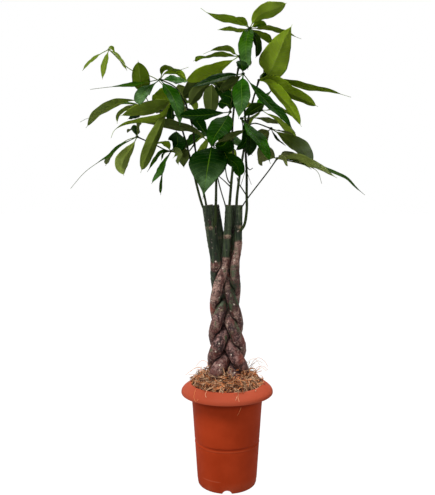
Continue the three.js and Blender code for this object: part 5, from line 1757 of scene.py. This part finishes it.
# %% Grow every leaf
for number, (node, own) in enumerate(LEAVES.items()):
    draw = np.random.default_rng(100 + number)
    young = own.get("young", False)
    leaf = Gatherer()
    hub = seen(own["hub"])
    add_stalk(leaf, stalk_places(own), STALK_RADII[young])
    add_hub(leaf, hub, HUB_RADII[young])
    for leaflet in own["leaflets"]:
        add_blade(leaf, hub, leaflet, draw)
    mesh = mesh_of(node + "_grown", leaf.points, leaf.faces)
    for finish in (young_face, young_face, young_stalk) if young else (leaf_upper, leaf_under, leaf_stalk):
        mesh.materials.append(finish)
    mesh.polygons.foreach_set("material_index", leaf.finishes)
    mesh.polygons.foreach_set("use_smooth", [True] * len(mesh.polygons))
    corner_points = np.zeros(len(mesh.loops), int)
    mesh.loops.foreach_get("vertex_index", corner_points)
    mesh.uv_layers.new(name="leaf_map").data.foreach_set("uv", np.array(leaf.spots)[corner_points].ravel())
    tones = np.array(leaf.tones, float).ravel()
    mesh.attributes.new("leaf_tone", "FLOAT_VECTOR", "POINT").data.foreach_set("vector", tones)
    finish_piece(show(node + "_grown", mesh), "young_leaf" if young else "leaf", node)

# %% [markdown]
# ## Stray fibres
# A few fibres have slipped over the rim and cling to the pot. Their places are read off the picture, but
# they lie on the pot: a ray goes from the camera through each place to the surface, and the fibre passes
# just in front of the hit. Others stand up from the heap against the light. A dozen of these are listed,
# and many shorter ones are drawn at random, each a walk of three steps that bends back down.

# %% Stray places
RIM_STRAYS = {   # column and row in the picture
    "left_loop": [(196.5, 388.5), (194.6, 393), (194.0, 398), (196.0, 401.8), (199.0, 398.5), (202.8, 389.5)],
    "right_hook": [(239.8, 391.5), (237.0, 396.5), (235.6, 400.5)],
    "right_hair": [(238.4, 392.5), (238.0, 397.5), (239.2, 402)],
    "wall_hair": [(241.0, 407.5), (239.4, 411.5), (237.3, 415.5)],
    "left_short": [(207, 391), (205.4, 394.5), (206.2, 397.5)],
}
RISING_STRAYS = [   # across, depth, height in mm
    [(46, 20, 236), (58, 30, 256), (72, 34, 268), (84, 36, 262)],
    [(52, 34, 234), (60, 42, 262), (74, 46, 272), (88, 40, 266), (96, 36, 254)],
    [(40, 40, 238), (50, 50, 262), (66, 52, 268), (78, 50, 254)],
    [(56, 10, 232), (70, 16, 250), (82, 18, 256), (92, 16, 248)],
    [(60, 40, 232), (72, 50, 248), (86, 46, 252), (97, 40, 244)],
    [(-34, 30, 240), (-46, 40, 262), (-60, 44, 266), (-74, 40, 254)],
    [(-40, 10, 238), (-54, 20, 252), (-70, 24, 256), (-86, 20, 246)],
    [(-30, 44, 240), (-40, 54, 268), (-46, 58, 280)],
    [(-50, 34, 236), (-66, 42, 250), (-84, 40, 244), (-98, 34, 234)],
    [(-24, -20, 242), (-34, -30, 252), (-46, -34, 246), (-56, -30, 236)],
    [(20, -36, 240), (34, -44, 250), (46, -42, 246), (58, -36, 236)],
    [(-14, -44, 238), (-4, -54, 246), (10, -58, 240), (22, -54, 234)],
]
HAIRS = dict(count=64, near=38, far=72, length=(16, 40), low=-28, high=70, steps=3)   # mm and degrees
draw = np.random.default_rng(41)


def loose_hair():
    """A springy fibre that stands out of the heap on its left or right side."""
    angle = math.radians(draw.uniform(HAIRS["low"], HAIRS["high"]))
    if draw.random() >= 0.5:
        angle = -angle
    if draw.random() >= 0.5:
        angle = math.pi - angle
    radius = draw.uniform(HAIRS["near"], HAIRS["far"])
    places = [np.array([radius * math.cos(angle), radius * math.sin(angle), mulch_height(radius, angle) - 2])]
    way = np.array([math.cos(angle) * 0.5, math.sin(angle) * 0.5, 1.0]) + draw.normal(0, 0.45, 3)
    step = draw.uniform(*HAIRS["length"]) / HAIRS["steps"]
    for _ in range(HAIRS["steps"]):
        place = places[-1] + way / np.linalg.norm(way) * step
        out = min(math.hypot(place[0], place[1]), 78)
        place[2] = max(place[2], mulch_height(out, math.atan2(place[1], place[0])) + 1)
        places.append(place)
        way = way + draw.normal(0, 0.5, 3) - np.array([0, 0, 0.35])
    return places


hairs = [loose_hair() for _ in range(HAIRS["count"])]
print("strays:", len(RIM_STRAYS), "on the rim,", len(RISING_STRAYS) + len(hairs), "rising")

# %% Stray fibres
STRAY_POINTS, STRAY_SIDES, STRAY_LIFT = 26, 5, 0.5   # the lift, in mm, is off the pot's surface
RIM_GIRTH, RISING_GIRTHS = 0.42, (0.55, 0.34)
pot_surface = BVHTree.FromPolygons([v.co for v in pot_mesh.vertices], [p.vertices for p in pot_mesh.polygons])


def on_pot(column, row):
    """The pot's surface behind a place in the picture, in mm, lifted a little off it."""
    eye = Vector(front_camera.location)
    aim = Vector(((column - AXIS_COLUMN) * PIXEL, 0, STANDPOINT_HEIGHT + (HORIZON_ROW - row) * PIXEL)) * MM
    hit, normal, _, _ = pot_surface.ray_cast(eye, (aim - eye).normalized())
    return np.array(hit + normal * STRAY_LIFT * MM) / MM


shares = np.linspace(0, 1, STRAY_POINTS)
lines = []
for places in RIM_STRAYS.values():
    lines.append((walk([on_pot(*place) for place in places], shares)[0], np.full(STRAY_POINTS, RIM_GIRTH)))
for places in RISING_STRAYS + hairs:
    lines.append((walk(places, shares)[0], np.linspace(*RISING_GIRTHS, STRAY_POINTS)))
tones = [0.45 + 0.5 * ((i * 7) % 10) / 10 for i in range(len(lines)) for _ in range(STRAY_POINTS)]
coir_strays = stem_piece("coir_strays", lines, STRAY_SIDES, fibre_finish, {"fibre_tone": tones})
finish_piece(coir_strays, "coir")

# %% [markdown]
# ## Size
# The dressed tree has to stay the size of the part, so its bounds are printed beside the part's.

# %% Size
low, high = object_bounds()
boxes = {"cad": [list(cad_low), list(cad_high)], "visual": [list(low), list(high)]}
for name, (corner, other) in boxes.items():
    print(name, [round(v * 1000, 1) for v in corner], [round(v * 1000, 1) for v in other])
